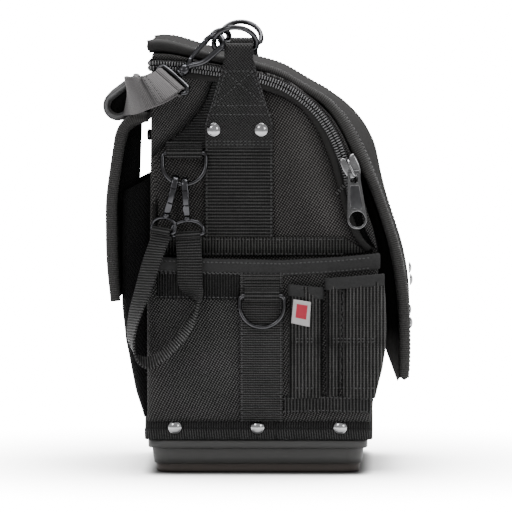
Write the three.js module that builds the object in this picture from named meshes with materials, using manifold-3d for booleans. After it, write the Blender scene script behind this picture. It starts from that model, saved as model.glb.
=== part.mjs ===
// Tool pouch in millimetres, +Z up. It stands on its base with a side panel turned to -Y,
// its front flap to +X and its back flap to -X. The origin is the middle of the base.

import * as THREE from 'three';
import { mergeVertices } from 'three/addons/utils/BufferGeometryUtils.js';
import Module from 'manifold-3d';

const wasm = await Module();
wasm.setup();

// Driving dimensions
const BODY_HALF = 98;
const WALL = 2.4;
const EDGE = 4;
const WEB = 1.8;
const GAP = 0.3;
const BODY_FLOOR = 25.3;
const FAR_AWAY = 400;

const TRAY_HEIGHT = 25;
const TRAY_FLOOR = 4;
const TRAY_WALL = 3;
const TRAY_CORNER = 12;
const BAND_TOP = 43;
const POCKET_FLOOR = 43.4;

const WIRE = 1.75;
const WIRE_HOLE = WIRE + GAP + 0.05;
const ROUND_SIDES = 6;
const RIVET_RADIUS = 5.2;
const RIVET_HEIGHT = 2.6;

const COVER_HALF = 94;
const FLAP_HALF = 90;
const RETURN_WALL = 3;

const TOP_RING = { x: -16.9, y: 99.5, z: 323.5, half: 16.25, leg: 5, lean: 40 };
const TAB_RING = { x: -55.7, y: 102.3, z: 243.9, half: 16.5, leg: 7.5, lean: 11.3 };
const POCKET_RING = { x: 3.6, y: 115.8, z: 136, half: 17.05, leg: 6.7, lean: 0 };

const PULL_AXIS = { x: 72.6, y: -104, z: 229.7 };
const GRIP = { x: -105.8, z: 282, outer: 12, wall: 4, leg: 17, half: 66 };

const X = new THREE.Vector3(1, 0, 0);
const Y = new THREE.Vector3(0, 1, 0);
const Z = new THREE.Vector3(0, 0, 1);

// Finishes
const FINISHES = {
  nylon: { color: 0x3f4042, roughness: 0.85, metalness: 0 },
  webbing: { color: 0x47484a, roughness: 0.8, metalness: 0 },
  padding: { color: 0x4e4e51, roughness: 0.75, metalness: 0 },
  tape: { color: 0x525357, roughness: 0.85, metalness: 0 },
  strap: { color: 0xb4b0ad, roughness: 0.8, metalness: 0 },
  plastic: { color: 0x55534f, roughness: 0.6, metalness: 0 },
  tag: { color: 0x9a9a98, roughness: 0.8, metalness: 0 },
  gunmetal: { color: 0x5f5f62, roughness: 0.3, metalness: 1 },
  nickel: { color: 0xc9c9c9, roughness: 0.2, metalness: 1 },
};
const MATERIALS = Object.fromEntries(
  Object.entries(FINISHES).map(([name, look]) => [name, new THREE.MeshStandardMaterial(look)]),
);

const pouch = new THREE.Group();

function vec(x, y, z) {
  return new THREE.Vector3(x, y, z);
}

// A closed geometry as a solid whose faces point outwards
function solid(geometry) {
  geometry.deleteAttribute('normal');
  geometry.deleteAttribute('uv');
  const merged = mergeVertices(geometry, 1e-4);
  const points = merged.attributes.position;
  const index = merged.index.array;
  const corners = [vec(), vec(), vec()];
  const triangles = [];
  let volume = 0;
  for (let i = 0; i < index.length; i += 3) {
    const triple = [index[i], index[i + 1], index[i + 2]];
    if (new Set(triple).size < 3) continue;
    triangles.push(triple);
    corners.forEach((corner, k) => corner.fromBufferAttribute(points, triple[k]));
    volume += corners[0].dot(corners[1].clone().cross(corners[2]));
  }
  const outward = volume > 0 ? triangles : triangles.map(([a, b, c]) => [a, c, b]);
  return new wasm.Manifold(new wasm.Mesh({
    numProp: 3,
    vertProperties: new Float32Array(points.array),
    triVerts: new Uint32Array(outward.flat()),
  }));
}

function geometryOf(body) {
  const mesh = body.getMesh();
  const geometry = new THREE.BufferGeometry();
  const points = new Float32Array(mesh.numVert * 3);
  for (let i = 0; i < mesh.numVert; i += 1) {
    for (let k = 0; k < 3; k += 1) {
      points[3 * i + k] = mesh.vertProperties[mesh.numProp * i + k];
    }
  }
  geometry.setAttribute('position', new THREE.BufferAttribute(points, 3));
  geometry.setIndex(Array.from(mesh.triVerts));
  return geometry;
}

function add(name, body, finish) {
  const geometry = geometryOf(body);
  geometry.computeVertexNormals();
  const mesh = new THREE.Mesh(geometry, MATERIALS[finish]);
  mesh.name = name;
  pouch.add(mesh);
}

// The same piece on the far side
function mirrored(body) {
  return solid(geometryOf(body).scale(1, -1, 1));
}

function joined(bodies) {
  return bodies.reduce((whole, body) => whole.add(body));
}

// An outline drawn on two directions and pushed along the third, with round edges if asked
function slab(outline, right, up, origin, depth, edge = 0, holes = []) {
  const shape = new THREE.Shape(outline.map(([a, b]) => new THREE.Vector2(a, b)));
  shape.holes = holes.map((hole) => new THREE.Path(hole.map(([a, b]) => new THREE.Vector2(a, b))));
  const geometry = new THREE.ExtrudeGeometry(shape, {
    depth: depth - 2 * edge,
    bevelEnabled: edge > 0,
    bevelThickness: edge,
    bevelSize: edge,
    bevelOffset: -edge,
    bevelSegments: edge > 2 ? 2 : 1,
  });
  geometry.translate(0, 0, edge);
  const matrix = new THREE.Matrix4().makeBasis(right, up, right.clone().cross(up));
  matrix.setPosition(origin);
  return solid(geometry.applyMatrix4(matrix));
}

// An outline in x and z, from yNear to yFar
function prism(outline, yNear, yFar, edge = 0, holes = []) {
  return slab(outline, X, Z, vec(0, yFar, 0), yFar - yNear, edge, holes);
}

// An outline in y and z, from xBack to xFront
function sidePrism(outline, xBack, xFront) {
  return slab(outline, Y, Z, vec(xBack, 0, 0), xFront - xBack);
}

function circle(a, b, radius, sides) {
  const points = [];
  for (let i = 0; i < sides; i += 1) {
    const turn = (2 * Math.PI * i) / sides;
    points.push([a + radius * Math.cos(turn), b + radius * Math.sin(turn)]);
  }
  return points;
}

// Points of an arc round (a, b), from one angle to another in degrees
function arc(a, b, radius, from, to, steps) {
  const points = [];
  for (let i = 0; i <= steps; i += 1) {
    const turn = THREE.MathUtils.degToRad(from + ((to - from) * i) / steps);
    points.push([a + radius * Math.cos(turn), b + radius * Math.sin(turn)]);
  }
  return points;
}

// Skins a row of rings of equal count, and closes both ends
function loft(rings) {
  const count = rings[0].length;
  const points = rings.flat();
  const index = [];
  for (let i = 0; i + 1 < rings.length; i += 1) {
    for (let k = 0; k < count; k += 1) {
      const a = i * count + k;
      const b = i * count + ((k + 1) % count);
      index.push(a, b, b + count, a, b + count, a + count);
    }
  }
  const ends = [0, (rings.length - 1) * count];
  ends.forEach((start, side) => {
    const cap = capTriangles(points.slice(start, start + count));
    cap.forEach(([a, b, c]) => {
      const turned = side === 0 ? [a, c, b] : [a, b, c];
      index.push(...turned.map((corner) => start + corner));
    });
  });
  const geometry = new THREE.BufferGeometry().setFromPoints(points);
  geometry.setIndex(index);
  return geometry;
}

// Triangles over one ring, turned the same way round as the ring
function capTriangles(ring) {
  const normal = vec(0, 0, 0);
  ring.forEach((point, i) => {
    normal.add(point.clone().cross(ring[(i + 1) % ring.length]));
  });
  normal.normalize();
  const right = ring[1].clone().sub(ring[0]).normalize();
  const up = normal.clone().cross(right);
  const flat = ring.map((point) => new THREE.Vector2(point.dot(right), point.dot(up)));
  return THREE.ShapeUtils.triangulateShape(flat, []);
}

// A round wire bent into a closed flat loop
function wireLoop(points, normal, radius) {
  const count = points.length;
  const vertices = [];
  const index = [];
  points.forEach((point, i) => {
    const ahead = points[(i + 1) % count].clone().sub(points[(i + count - 1) % count]).normalize();
    const outward = ahead.cross(normal);
    circle(0, 0, radius, ROUND_SIDES).forEach(([a, b]) => {
      vertices.push(point.clone().addScaledVector(outward, a).addScaledVector(normal, b));
    });
    for (let k = 0; k < ROUND_SIDES; k += 1) {
      const next = ((i + 1) % count) * ROUND_SIDES;
      const a = i * ROUND_SIDES + k;
      const b = i * ROUND_SIDES + ((k + 1) % ROUND_SIDES);
      const c = next + ((k + 1) % ROUND_SIDES);
      index.push(a, b, c, a, c, next + k);
    }
  });
  const geometry = new THREE.BufferGeometry().setFromPoints(vertices);
  geometry.setIndex(index);
  return solid(geometry);
}

// A round bar along an open curve
function bar(points, radius, steps) {
  const ring = circle(0, 0, radius, ROUND_SIDES);
  const section = new THREE.Shape(ring.map(([a, b]) => new THREE.Vector2(a, b)));
  const path = new THREE.CatmullRomCurve3(points, false, 'centripetal');
  return solid(new THREE.ExtrudeGeometry(section, { steps, extrudePath: path, bevelEnabled: false }));
}

// A turned piece: rows of radius and height along an axis from a point
function turned(profile, at, axis, segments) {
  const points = profile.map(([radius, height]) => new THREE.Vector2(radius, height));
  const geometry = new THREE.LatheGeometry(points, segments);
  geometry.applyQuaternion(new THREE.Quaternion().setFromUnitVectors(Y, axis));
  geometry.translate(at.x, at.y, at.z);
  return solid(geometry);
}

// A band of webbing along a curve, rows of place and width direction
function ribbon(rows, width, thickness, steps) {
  const path = new THREE.CatmullRomCurve3(rows.map((row) => row.at), false, 'centripetal');
  const across = new THREE.CatmullRomCurve3(rows.map((row) => row.across), false, 'catmullrom');
  const rings = [];
  for (let i = 0; i <= steps; i += 1) {
    const along = path.getTangent(i / steps);
    const wide = across.getPoint(i / steps);
    wide.addScaledVector(along, -wide.dot(along)).normalize();
    const thick = along.clone().cross(wide);
    const centre = path.getPoint(i / steps);
    const corners = [[-1, -1], [1, -1], [1, 1], [-1, 1]];
    rings.push(corners.map(([a, b]) => centre.clone()
      .addScaledVector(wide, (a * width) / 2)
      .addScaledVector(thick, (b * thickness) / 2)));
  }
  return solid(loft(rings));
}

// Outline of a padded panel seen from its edge, rows of x, z and thickness, with round ends
function padOutline(rows, steps) {
  const path = new THREE.CatmullRomCurve3(rows.map((row) => vec(...row)), false, 'centripetal');
  const left = [];
  const right = [];
  const ends = [];
  for (let i = 0; i <= steps; i += 1) {
    const { x, y: z, z: thickness } = path.getPoint(i / steps);
    const ahead = path.getTangent(i / steps).setZ(0).normalize();
    const half = thickness / 2;
    left.push([x - ahead.y * half, z + ahead.x * half]);
    right.push([x + ahead.y * half, z - ahead.x * half]);
    if (i === 0 || i === steps) ends.push({ x, z, ahead, half });
  }
  const cap = (end, turns) => turns.map((turn) => {
    const forward = end.half * Math.cos(THREE.MathUtils.degToRad(turn));
    const sideways = end.half * Math.sin(THREE.MathUtils.degToRad(turn));
    const { ahead } = end;
    return [
      end.x + ahead.x * forward - ahead.y * sideways,
      end.z + ahead.y * forward + ahead.x * sideways,
    ];
  });
  const tip = cap(ends[1], [60, 20, -20, -60]);
  const root = cap(ends[0], [-120, -160, 160, 120]);
  return [...left, ...tip, ...right.reverse(), ...root];
}

// Moves every corner of a closed outline inwards
function inset(outline, distance) {
  const count = outline.length;
  const area = outline.reduce((sum, [x, z], i) => {
    const [nextX, nextZ] = outline[(i + 1) % count];
    return sum + x * nextZ - nextX * z;
  }, 0);
  const side = Math.sign(area);
  const normals = outline.map(([x, z], i) => {
    const [nextX, nextZ] = outline[(i + 1) % count];
    return new THREE.Vector2((z - nextZ) * side, (nextX - x) * side).normalize();
  });
  return outline.map(([x, z], i) => {
    const before = normals[(i + count - 1) % count];
    const after = normals[i];
    const reach = distance / (1 + before.dot(after));
    return [x + (before.x + after.x) * reach, z + (before.y + after.y) * reach];
  });
}

function smooth(rows, steps) {
  const curve = new THREE.SplineCurve(rows.map(([x, z]) => new THREE.Vector2(x, z)));
  return curve.getPoints(steps).map((point) => [point.x, point.y]);
}

function valueAt(rows, place) {
  const last = rows.findIndex(([at]) => at >= place);
  if (last <= 0) return rows[last === 0 ? 0 : rows.length - 1][1];
  const [lowAt, low] = rows[last - 1];
  const [highAt, high] = rows[last];
  return low + ((high - low) * (place - lowAt)) / (highAt - lowAt);
}

// Base tray: a moulded open tray, rows of height, half length, half width
const TRAY_ROWS = [
  [0, 75.5, 90],
  [1.6, 77.2, 91.6],
  [6.6, 78, 92.2],
  [7.2, 79.4, 93.4],
  [18.2, 80.8, 94.8],
  [19, 83.8, 97.5],
  [TRAY_HEIGHT, 83.9, 97.6],
];
const TRAY_HOLLOW = [
  [TRAY_FLOOR, 74.5, 89],
  [18, 76.8, 91],
  [TRAY_HEIGHT + 1, 80.8, 94.4],
];

function roundedRing(halfX, halfY, corner, z, shiftX = 0) {
  const quarter = [[1, 1, 0], [-1, 1, 90], [-1, -1, 180], [1, -1, 270]];
  return quarter.flatMap(([signX, signY, start]) => arc(
    shiftX + signX * (halfX - corner),
    signY * (halfY - corner),
    corner,
    start,
    start + 90,
    4,
  )).map(([x, y]) => vec(x, y, z));
}

function trayLoft(rows, corner) {
  return solid(loft(rows.map(([z, halfX, halfY]) => roundedRing(halfX, halfY, corner, z))));
}

const trayHollow = trayLoft(TRAY_HOLLOW, TRAY_CORNER - TRAY_WALL);
add('base_tray', trayLoft(TRAY_ROWS, TRAY_CORNER).subtract(trayHollow), 'plastic');

// Body and lid: one hollow form cut in two along the zip
const BACK_LINE = [[-84, 15], [-84, 43], [-82, 120], [-80, 226], [-80, 270], [-81.4, 308]];
const ROOF_LINE = [
  [-80, 320.6], [-66, 320.2], [-50, 317], [-32, 313], [-10, 309.2], [8, 304.6], [18, 300.9],
  [28.2, 296.2], [39, 289], [48.6, 280.6], [57, 270.6], [63.8, 259.4], [69.3, 247.5], [73.4, 236],
  [77, 223], [80, 210], [84, 198], [88.5, 184], [91, 170], [92.4, 140], [90, 90],
];
const FRONT_LINE = [[85.4, 43], [85, 15]];
const BODY_OUTLINE = [...FRONT_LINE, ...BACK_LINE, ...smooth(ROOF_LINE, 32)];

// Zip rows: x, z and half the width of the slot, from the back to the front seam
const ZIP_ROWS = [
  [-110, 311.5, 4.3], [-60, 309.5, 4.3], [-30, 305.6, 4.3], [3.4, 300, 4.3], [24.7, 291.5, 4.3],
  [43.7, 276.5, 4.3], [57.4, 257, 4.3], [66.5, 234.4, 4.3], [72.5, 210, 4.3], [79.4, 188, 3.2],
  [84.5, 177, 0.3], [130, 165, 0.3],
];
const CHAIN_END = 9;

function zipEdges(rows, trim) {
  const path = new THREE.CatmullRomCurve3(rows.map((row) => vec(...row)), false, 'centripetal');
  const steps = 2 * (rows.length - 1);
  const edges = { upper: [], lower: [] };
  for (let i = 0; i <= steps; i += 1) {
    const { x, y: z, z: half } = path.getPoint(i / steps);
    const ahead = path.getTangent(i / steps).setZ(0).normalize();
    const reach = Math.max(half - trim, 0.2);
    edges.upper.push([x - ahead.y * reach, z + ahead.x * reach]);
    edges.lower.push([x + ahead.y * reach, z - ahead.x * reach]);
  }
  return edges;
}

const bodyForm = prism(BODY_OUTLINE, -BODY_HALF, BODY_HALF, EDGE);
const bodyHollow = prism(inset(BODY_OUTLINE, WALL), WALL - BODY_HALF, BODY_HALF - WALL);
const bodyWalls = bodyForm.subtract(bodyHollow);
const slot = zipEdges(ZIP_ROWS, 0);
const chainEdges = zipEdges(ZIP_ROWS.slice(0, CHAIN_END), GAP + 0.1);
const aboveSlot = [...slot.upper, [FAR_AWAY, FAR_AWAY], [-FAR_AWAY, FAR_AWAY]];
const belowSlot = [...slot.lower, [FAR_AWAY, BODY_FLOOR], [-FAR_AWAY, BODY_FLOOR]];
const throughWidth = [-2 * BODY_HALF, 2 * BODY_HALF];

add('body_shell', bodyWalls.intersect(prism(belowSlot, ...throughWidth)), 'nylon');
add('lid', bodyWalls.intersect(prism(aboveSlot, ...throughWidth)), 'padding');
const chainBand = prism([...chainEdges.upper, ...chainEdges.lower.reverse()], ...throughWidth);
add('zip_chain', bodyWalls.intersect(chainBand), 'tape');

// Base band: webbing round the foot of the body
const BAND_SHIFT = 0.7;
const bandRing = (out, z) => roundedRing(85 + out, BODY_HALF + out, 5 + out, z, BAND_SHIFT);
const bandOuter = solid(loft([bandRing(GAP + WEB, BODY_FLOOR), bandRing(GAP + WEB, BAND_TOP)]));
const bandInner = solid(loft([bandRing(GAP, BODY_FLOOR - 1), bandRing(GAP, BAND_TOP + 1)]));
add('base_band', bandOuter.subtract(bandInner), 'webbing');

// Domed rivets: on the base band, the side straps and the cover flap
const RIVET_PROFILE = [[0, 0], [1, 0], [1, 0.25], [0.86, 0.62], [0.5, 0.92], [0, 1]];
function rivet(name, at, axis, radius = RIVET_RADIUS, height = RIVET_HEIGHT) {
  const profile = RIVET_PROFILE.map(([r, h]) => [r * radius, h * height]);
  add(name, turned(profile, at, axis, 10), 'nickel');
}

const SIDES = [['near', -1], ['far', 1]];
const BASE_RIVETS = [['back', -63], ['middle', 0], ['front', 63]];
const BASE_RIVET_Z = 34.9;
SIDES.forEach(([side, sign]) => {
  BASE_RIVETS.forEach(([spot, x]) => {
    const at = vec(x, sign * (BODY_HALF + 2 * GAP + WEB), BASE_RIVET_Z);
    rivet(`base_rivet_${spot}_${side}`, at, vec(0, sign, 0));
  });
});

// Cover flap: padded panel over the lid, rows of x and z of its underside, the thickness of its
// bound edge and how far its middle swells above that, from the back roll to the tip
const COVER_ROWS = [
  [-79, 321.2, 6, 4.5], [-66, 320.8, 6, 5], [-50, 317.5, 4.5, 3.5], [-32, 313.5, 3.5, 2.5],
  [-10, 309.7, 4, 3], [8, 305.1, 4, 3.3], [18, 301.5, 4.3, 3.5], [28.4, 296.8, 4.6, 2.8],
  [39.4, 289.5, 5, 3.8], [49, 281, 5.5, 5.5], [57.5, 271, 5.7, 8.3], [64.4, 259.7, 6, 10.6],
  [70, 247.9, 6.5, 11.2], [74.6, 236.6, 7, 10], [82.5, 214, 8, 7], [91.5, 190, 8, 5.3],
  [99.5, 166, 8, 4.2], [105, 142, 7.5, 2.5], [107.5, 120, 7, 0.9], [108, 95, 7, 0.5],
  [107.8, 77.5, 7, 0.3],
];
const COVER_STATIONS = [-1, -0.95, -0.78, -0.5, -0.18, 0.18, 0.5, 0.78, 0.95, 1];
const COVER_RETURN = [
  [94, 190], [101.5, 166], [107, 142], [109.5, 120], [110, 78], [106.5, 74.5], [98, 94.5], [96.2, 110],
  [96, 150], [94.5, 170], [91.5, 186], [88, 198], [90.5, 199],
];
const RETURN_Y = 84;

const coverUnder = new THREE.CatmullRomCurve3(COVER_ROWS.map(([x, z]) => vec(x, z, 0)), false, 'centripetal');

// Three points that round off an end between two corners of an outline
function nose([fromX, fromZ], [toX, toZ]) {
  const middle = [(fromX + toX) / 2, (fromZ + toZ) / 2];
  const half = [(toX - fromX) / 2, (toZ - fromZ) / 2];
  return [-45, 0, 45].map((turn) => {
    const ahead = Math.cos(THREE.MathUtils.degToRad(turn));
    const side = Math.sin(THREE.MathUtils.degToRad(turn));
    return [
      middle[0] + half[0] * side - half[1] * ahead,
      middle[1] + half[1] * side + half[0] * ahead,
    ];
  });
}

function coverRing(station) {
  const swell = 1 - Math.abs(station) ** 3;
  const steps = COVER_ROWS.length - 1;
  const inner = [];
  const outer = [];
  COVER_ROWS.forEach(([x, z, edge, crown], i) => {
    const ahead = coverUnder.getTangent(i / steps);
    const thick = edge + crown * swell;
    inner.push([x, z]);
    outer.push([x - ahead.y * thick, z + ahead.x * thick]);
  });
  const back = nose(inner[0], outer[0]);
  const tip = nose(outer[steps], inner[steps]);
  const ring = [...outer, ...tip, ...inner.reverse(), ...back];
  return ring.map(([x, z]) => vec(x, station * COVER_HALF, z));
}

const coverPanel = solid(loft(COVER_STATIONS.map(coverRing)));
const coverReturn = prism(COVER_RETURN, -RETURN_Y, RETURN_WALL - RETURN_Y);
add('cover_flap', joined([coverPanel, coverReturn, mirrored(coverReturn)]), 'padding');

const FLAP_RIVETS = [['upper', 147], ['lower', 114]];
const FLAP_RIVET_X = 116.1;
const FLAP_RIVET_Y = 82;
SIDES.forEach(([side, sign]) => {
  FLAP_RIVETS.forEach(([spot, z]) => {
    rivet(`flap_rivet_${spot}_${side}`, vec(FLAP_RIVET_X, sign * FLAP_RIVET_Y, z), X, 4.6, 1.6);
  });
});

// D-ring on a straight bar: along the bar, and away from it in the ring's own plane
function ringLoop({ x, y, z, half, leg, lean }, upward) {
  const corner = 3;
  const tilt = THREE.MathUtils.degToRad(lean);
  const away = vec(0, -Math.sin(tilt), upward * Math.cos(tilt));
  const outline = [
    ...arc(half - corner, corner, corner, -90, 0, 3),
    ...arc(0, leg, half, 0, 180, 11),
    ...arc(corner - half, corner, corner, 180, 270, 3),
  ];
  const points = outline.map(([a, b]) => vec(x + a, -y, z).addScaledVector(away, b));
  return wireLoop(points, X.clone().cross(away).normalize(), WIRE);
}

// Webbing sewn flat on a panel and folded round the bar of a ring
function foldedTab({ ring, face, frontOutline, thickness, wedge, stripTop }) {
  const outer = WIRE_HOLE + thickness;
  const x0 = -FAR_AWAY / 2;
  const x1 = FAR_AWAY / 2;
  const strip = sidePrism([
    [-face, stripTop], [-face, ring.z], [-face - thickness, ring.z], [-face - thickness, stripTop],
  ], x0, x1);
  const fold = sidePrism(circle(-ring.y, ring.z, outer, 18), x0, x1);
  const shoulder = sidePrism(wedge(outer), x0, x1);
  const eye = sidePrism(circle(-ring.y, ring.z, WIRE_HOLE, 14), x0 - 1, x1 + 1);
  return joined([strip, fold, shoulder]).subtract(eye).intersect(prism(frontOutline, -FAR_AWAY, 0));
}

// Side straps: wide webbing up each side, tapered to the top ring
const STRAP_FACE = BODY_HALF + GAP;
const STRAP_OUTLINE = [
  [-40.3, 180.4], [11.8, 180.4], [11.8, 266], [-3.4, 316],
  [-3.4, 340], [-25.2, 340], [-25.2, 316], [-40.3, 266],
];
const strapNear = foldedTab({
  ring: TOP_RING,
  face: STRAP_FACE,
  frontOutline: STRAP_OUTLINE,
  thickness: WEB,
  stripTop: 180,
  wedge: (outer) => [
    [-TOP_RING.y - outer + 0.2, TOP_RING.z - 1], [-TOP_RING.y + outer - 0.2, TOP_RING.z - 1],
    [-STRAP_FACE, TOP_RING.z - 9.5], [-STRAP_FACE - WEB, TOP_RING.z - 9.5],
  ],
});
add('side_strap_near', strapNear, 'webbing');
add('side_strap_far', mirrored(strapNear), 'webbing');

const STRAP_RIVETS = [['back', -33.4], ['front', 2.8]];
const STRAP_RIVET_Z = 261.8;
SIDES.forEach(([side, sign]) => {
  STRAP_RIVETS.forEach(([spot, x]) => {
    const at = vec(x, sign * (STRAP_FACE + WEB + GAP), STRAP_RIVET_Z);
    rivet(`strap_rivet_${spot}_${side}`, at, vec(0, sign, 0));
  });
});

const topRingNear = ringLoop(TOP_RING, 1);
add('top_ring_near', topRingNear, 'gunmetal');
add('top_ring_far', mirrored(topRingNear), 'gunmetal');

// Ring tab: short webbing under the rear panel's slanting seam, with its D-ring
const TAB_OUTLINE = [[-69.2, 236], [-42.2, 236], [-42.2, 272], [-69.2, 250]];
add('ring_tab', foldedTab({
  ring: TAB_RING,
  face: STRAP_FACE,
  frontOutline: TAB_OUTLINE,
  thickness: WEB,
  stripTop: 280,
  wedge: (outer) => [
    [-TAB_RING.y - outer + 0.2, TAB_RING.z + 1], [-STRAP_FACE - WEB, TAB_RING.z + 1],
    [-STRAP_FACE - WEB, TAB_RING.z + 13],
  ],
}), 'webbing');
add('tab_ring', ringLoop(TAB_RING, -1), 'gunmetal');

// Side hem: ribbed tape across the side panel above the pocket
const HEM_OUTLINE = [[-78, 165.2], [60, 166.4], [82, 168.6], [66, 180], [-78, 180]];
const hemNear = prism(HEM_OUTLINE, -STRAP_FACE - 1.5, -STRAP_FACE);
add('side_hem_near', hemNear, 'tape');
add('side_hem_far', mirrored(hemNear), 'tape');

// Pocket walls: a wall that leaves its panel, runs along it and comes back, in rows of height
function wallPath(from, to, depth, corner, tail) {
  const turn = Math.min(corner, depth * 0.8);
  return [
    [from, 0],
    ...arc(from + turn, depth - turn, turn, 180, 90, 3),
    ...arc(to - turn, depth - turn, turn, 90, 0, 3),
    [to, -tail],
  ];
}

function pouchWall(rows, wall, corner, put, tail = 0) {
  return solid(loft(rows.map(({ z, from, to, depth }) => {
    const outer = wallPath(from, to, depth, corner, tail);
    const inner = wallPath(from + wall, to - wall, depth - wall, Math.max(corner - wall, 0.6), tail);
    return [...outer, ...inner.reverse()].map(([along, out]) => put(along, out, z));
  })));
}

// Side pockets: rows of height and depth of the pocket, from its foot to its mouth
const POCKET_DEPTH = [[POCKET_FLOOR, 2.3], [60, 7.5], [85, 11], [110, 12], [175, 12]];
const POCKET_FRONT_X = [[POCKET_FLOOR, 86], [100, 91], [175, 92.2]];
const POCKET_BACK_X = -84;
const POCKET_WALL = 2;
const POCKET_CORNER = 7;
const MOUTH_LINE = [[-100, 165.5], [-40, 163.4], [20, 162.2], [60, 164.4], [110, 169]];
const HEM_HEIGHT = 11;
const BINDING = 1.2;

const pocketFace = (along, out, z) => vec(along, -STRAP_FACE - out, z);
function sidePocketRows(proud) {
  return POCKET_DEPTH.map(([z, depth]) => ({
    z,
    from: POCKET_BACK_X - proud,
    to: valueAt(POCKET_FRONT_X, z) + proud,
    depth: depth + proud,
  }));
}
function underMouth(drop) {
  return MOUTH_LINE.map(([x, z]) => [x, z - drop]);
}
const belowMouth = prism([...underMouth(0), [110, 0], [-100, 0]], -FAR_AWAY, 0);
const alongMouth = prism([...underMouth(0), ...underMouth(HEM_HEIGHT).reverse()], -FAR_AWAY, 0);
const pocketForm = pouchWall(sidePocketRows(0), POCKET_WALL, POCKET_CORNER, pocketFace);
const hemForm = pouchWall(sidePocketRows(GAP + BINDING), BINDING, POCKET_CORNER, pocketFace);
const pocketNear = pocketForm.intersect(belowMouth);
const pocketHem = hemForm.intersect(alongMouth);
add('side_pocket_near', pocketNear, 'nylon');
add('side_pocket_far', mirrored(pocketNear), 'nylon');
add('pocket_hem_near', pocketHem, 'tape');
add('pocket_hem_far', mirrored(pocketHem), 'tape');

// Pieces sewn on the pocket follow its front at the same rows of height
function pocketFrontRows(zLow, zHigh) {
  const inside = POCKET_DEPTH.filter(([z]) => z > zLow && z < zHigh).map(([z]) => z);
  return [zLow, ...inside, zHigh].map((z) => ({ z, base: valueAt(POCKET_DEPTH, z) }));
}

function pocketStrip(xBack, xFront, zLow, zHigh, lift, thickness) {
  return solid(loft(pocketFrontRows(zLow, zHigh).map(({ z, base }) => [
    pocketFace(xBack, base + lift, z),
    pocketFace(xFront, base + lift, z),
    pocketFace(xFront, base + lift + thickness, z),
    pocketFace(xBack, base + lift + thickness, z),
  ])));
}

const STRIP_TOP = 150;
add('pocket_strip', pocketStrip(-13.3, 19.4, POCKET_FLOOR, STRIP_TOP, GAP, BINDING), 'webbing');

const POCKET_TAB_FACE = STRAP_FACE + 12 + BINDING + 2 * GAP;
const POCKET_TAB_THICK = 1.6;
add('pocket_ring_tab', foldedTab({
  ring: POCKET_RING,
  face: POCKET_TAB_FACE,
  frontOutline: [[-9.7, 128], [16.9, 128], [16.9, 149], [-9.7, 149]],
  thickness: POCKET_TAB_THICK,
  stripTop: STRIP_TOP,
  wedge: (outer) => [
    [-POCKET_RING.y - outer + 0.2, POCKET_RING.z + 1],
    [-POCKET_TAB_FACE - POCKET_TAB_THICK, POCKET_RING.z + 1],
    [-POCKET_TAB_FACE - POCKET_TAB_THICK, POCKET_RING.z + 10],
  ],
}), 'webbing');
add('pocket_ring', ringLoop(POCKET_RING, -1), 'gunmetal');

// Loop pockets: narrow pockets on the side pocket, open at the top and drawn in at the foot
const LOOP_FOOT = 58;
const LOOP_SWELL = [[LOOP_FOOT, 2.2], [75, 5.2], [100, 6.4], [152, 6.4]];
function loopPocket(from, to, top, tail) {
  const bends = [...POCKET_DEPTH, ...LOOP_SWELL].map(([z]) => z).filter((z) => z > LOOP_FOOT && z < top);
  const heights = [...new Set([LOOP_FOOT, ...bends, top])].sort((a, b) => a - b);
  const rows = heights.map((z) => ({ z, from, to, depth: valueAt(LOOP_SWELL, z) }));
  const put = (along, out, z) => pocketFace(along, valueAt(POCKET_DEPTH, z) + GAP + out, z);
  return pouchWall(rows, WEB, 4, put, tail);
}
add('loop_pocket_rear', loopPocket(24, 49.5, 144, 0), 'nylon');
add('loop_pocket_front', loopPocket(52, 96, 151, 7), 'nylon');

const TAG_OUTLINE = [[25.8, 116], [39.8, 113], [40.8, 132], [27.6, 134]];
const TAG_Y = STRAP_FACE + 12 + GAP + 6.4 + GAP;
add('tag', prism(TAG_OUTLINE, -TAG_Y - 0.8, -TAG_Y), 'tag');

// Back pocket: rows of height and depth behind the back panel
const BACK_POCKET_ROWS = [[POCKET_FLOOR, 2.3], [101, 15.8], [132, 21], [226, 23]];
const BACK_POCKET_HALF = 88;
const BACK_MOUTH = [[-120, 214], [-103, 214], [-91, 226], [-70, 226], [-70, 30], [-120, 30]];
const BACK_X = BACK_LINE.map(([x, z]) => [z, x]);
const backFace = (along, out, z) => vec(valueAt(BACK_X, z) - GAP - out, along, z);
const backPocket = pouchWall(
  BACK_POCKET_ROWS.map(([z, depth]) => ({ z, from: -BACK_POCKET_HALF, to: BACK_POCKET_HALF, depth })),
  POCKET_WALL,
  8,
  backFace,
);
add('back_pocket', backPocket.intersect(prism(BACK_MOUTH, ...throughWidth)), 'nylon');

// Back flap: padded flap over the back pocket, rows of x, z and thickness from its root to its tip
const BACK_FLAP_ROWS = [
  [-83.6, 270.6, 6], [-92, 269.4, 7], [-99, 265.6, 7.4], [-103.6, 258, 7.5], [-105.8, 246, 7.5],
  [-108.2, 230, 7.5], [-110.9, 209, 7.5], [-111.3, 190, 7.5], [-110.7, 160, 7.5], [-108.8, 135, 7.5],
];
const BACK_RETURN = [[-87.4, 267.5], [-92.2, 230], [-103.5, 224], [-107.8, 229], [-104, 256], [-98, 266]];
const BACK_RETURN_Y = 80;
const backPanel = prism(padOutline(BACK_FLAP_ROWS, 18), -FLAP_HALF, FLAP_HALF, 1.2);
const backReturn = prism(BACK_RETURN, -BACK_RETURN_Y, RETURN_WALL - BACK_RETURN_Y);
add('back_flap', joined([backPanel, backReturn, mirrored(backReturn)]), 'padding');

const KNOB_PROFILE = [[0, 0], [2.6, 0], [2.4, 1.4], [4.2, 2], [4.4, 3.4], [3, 4.6], [0, 4.8]];
add('back_knob', turned(KNOB_PROFILE, vec(-80 - GAP, -70, 257), X.clone().negate(), 12), 'gunmetal');

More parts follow.
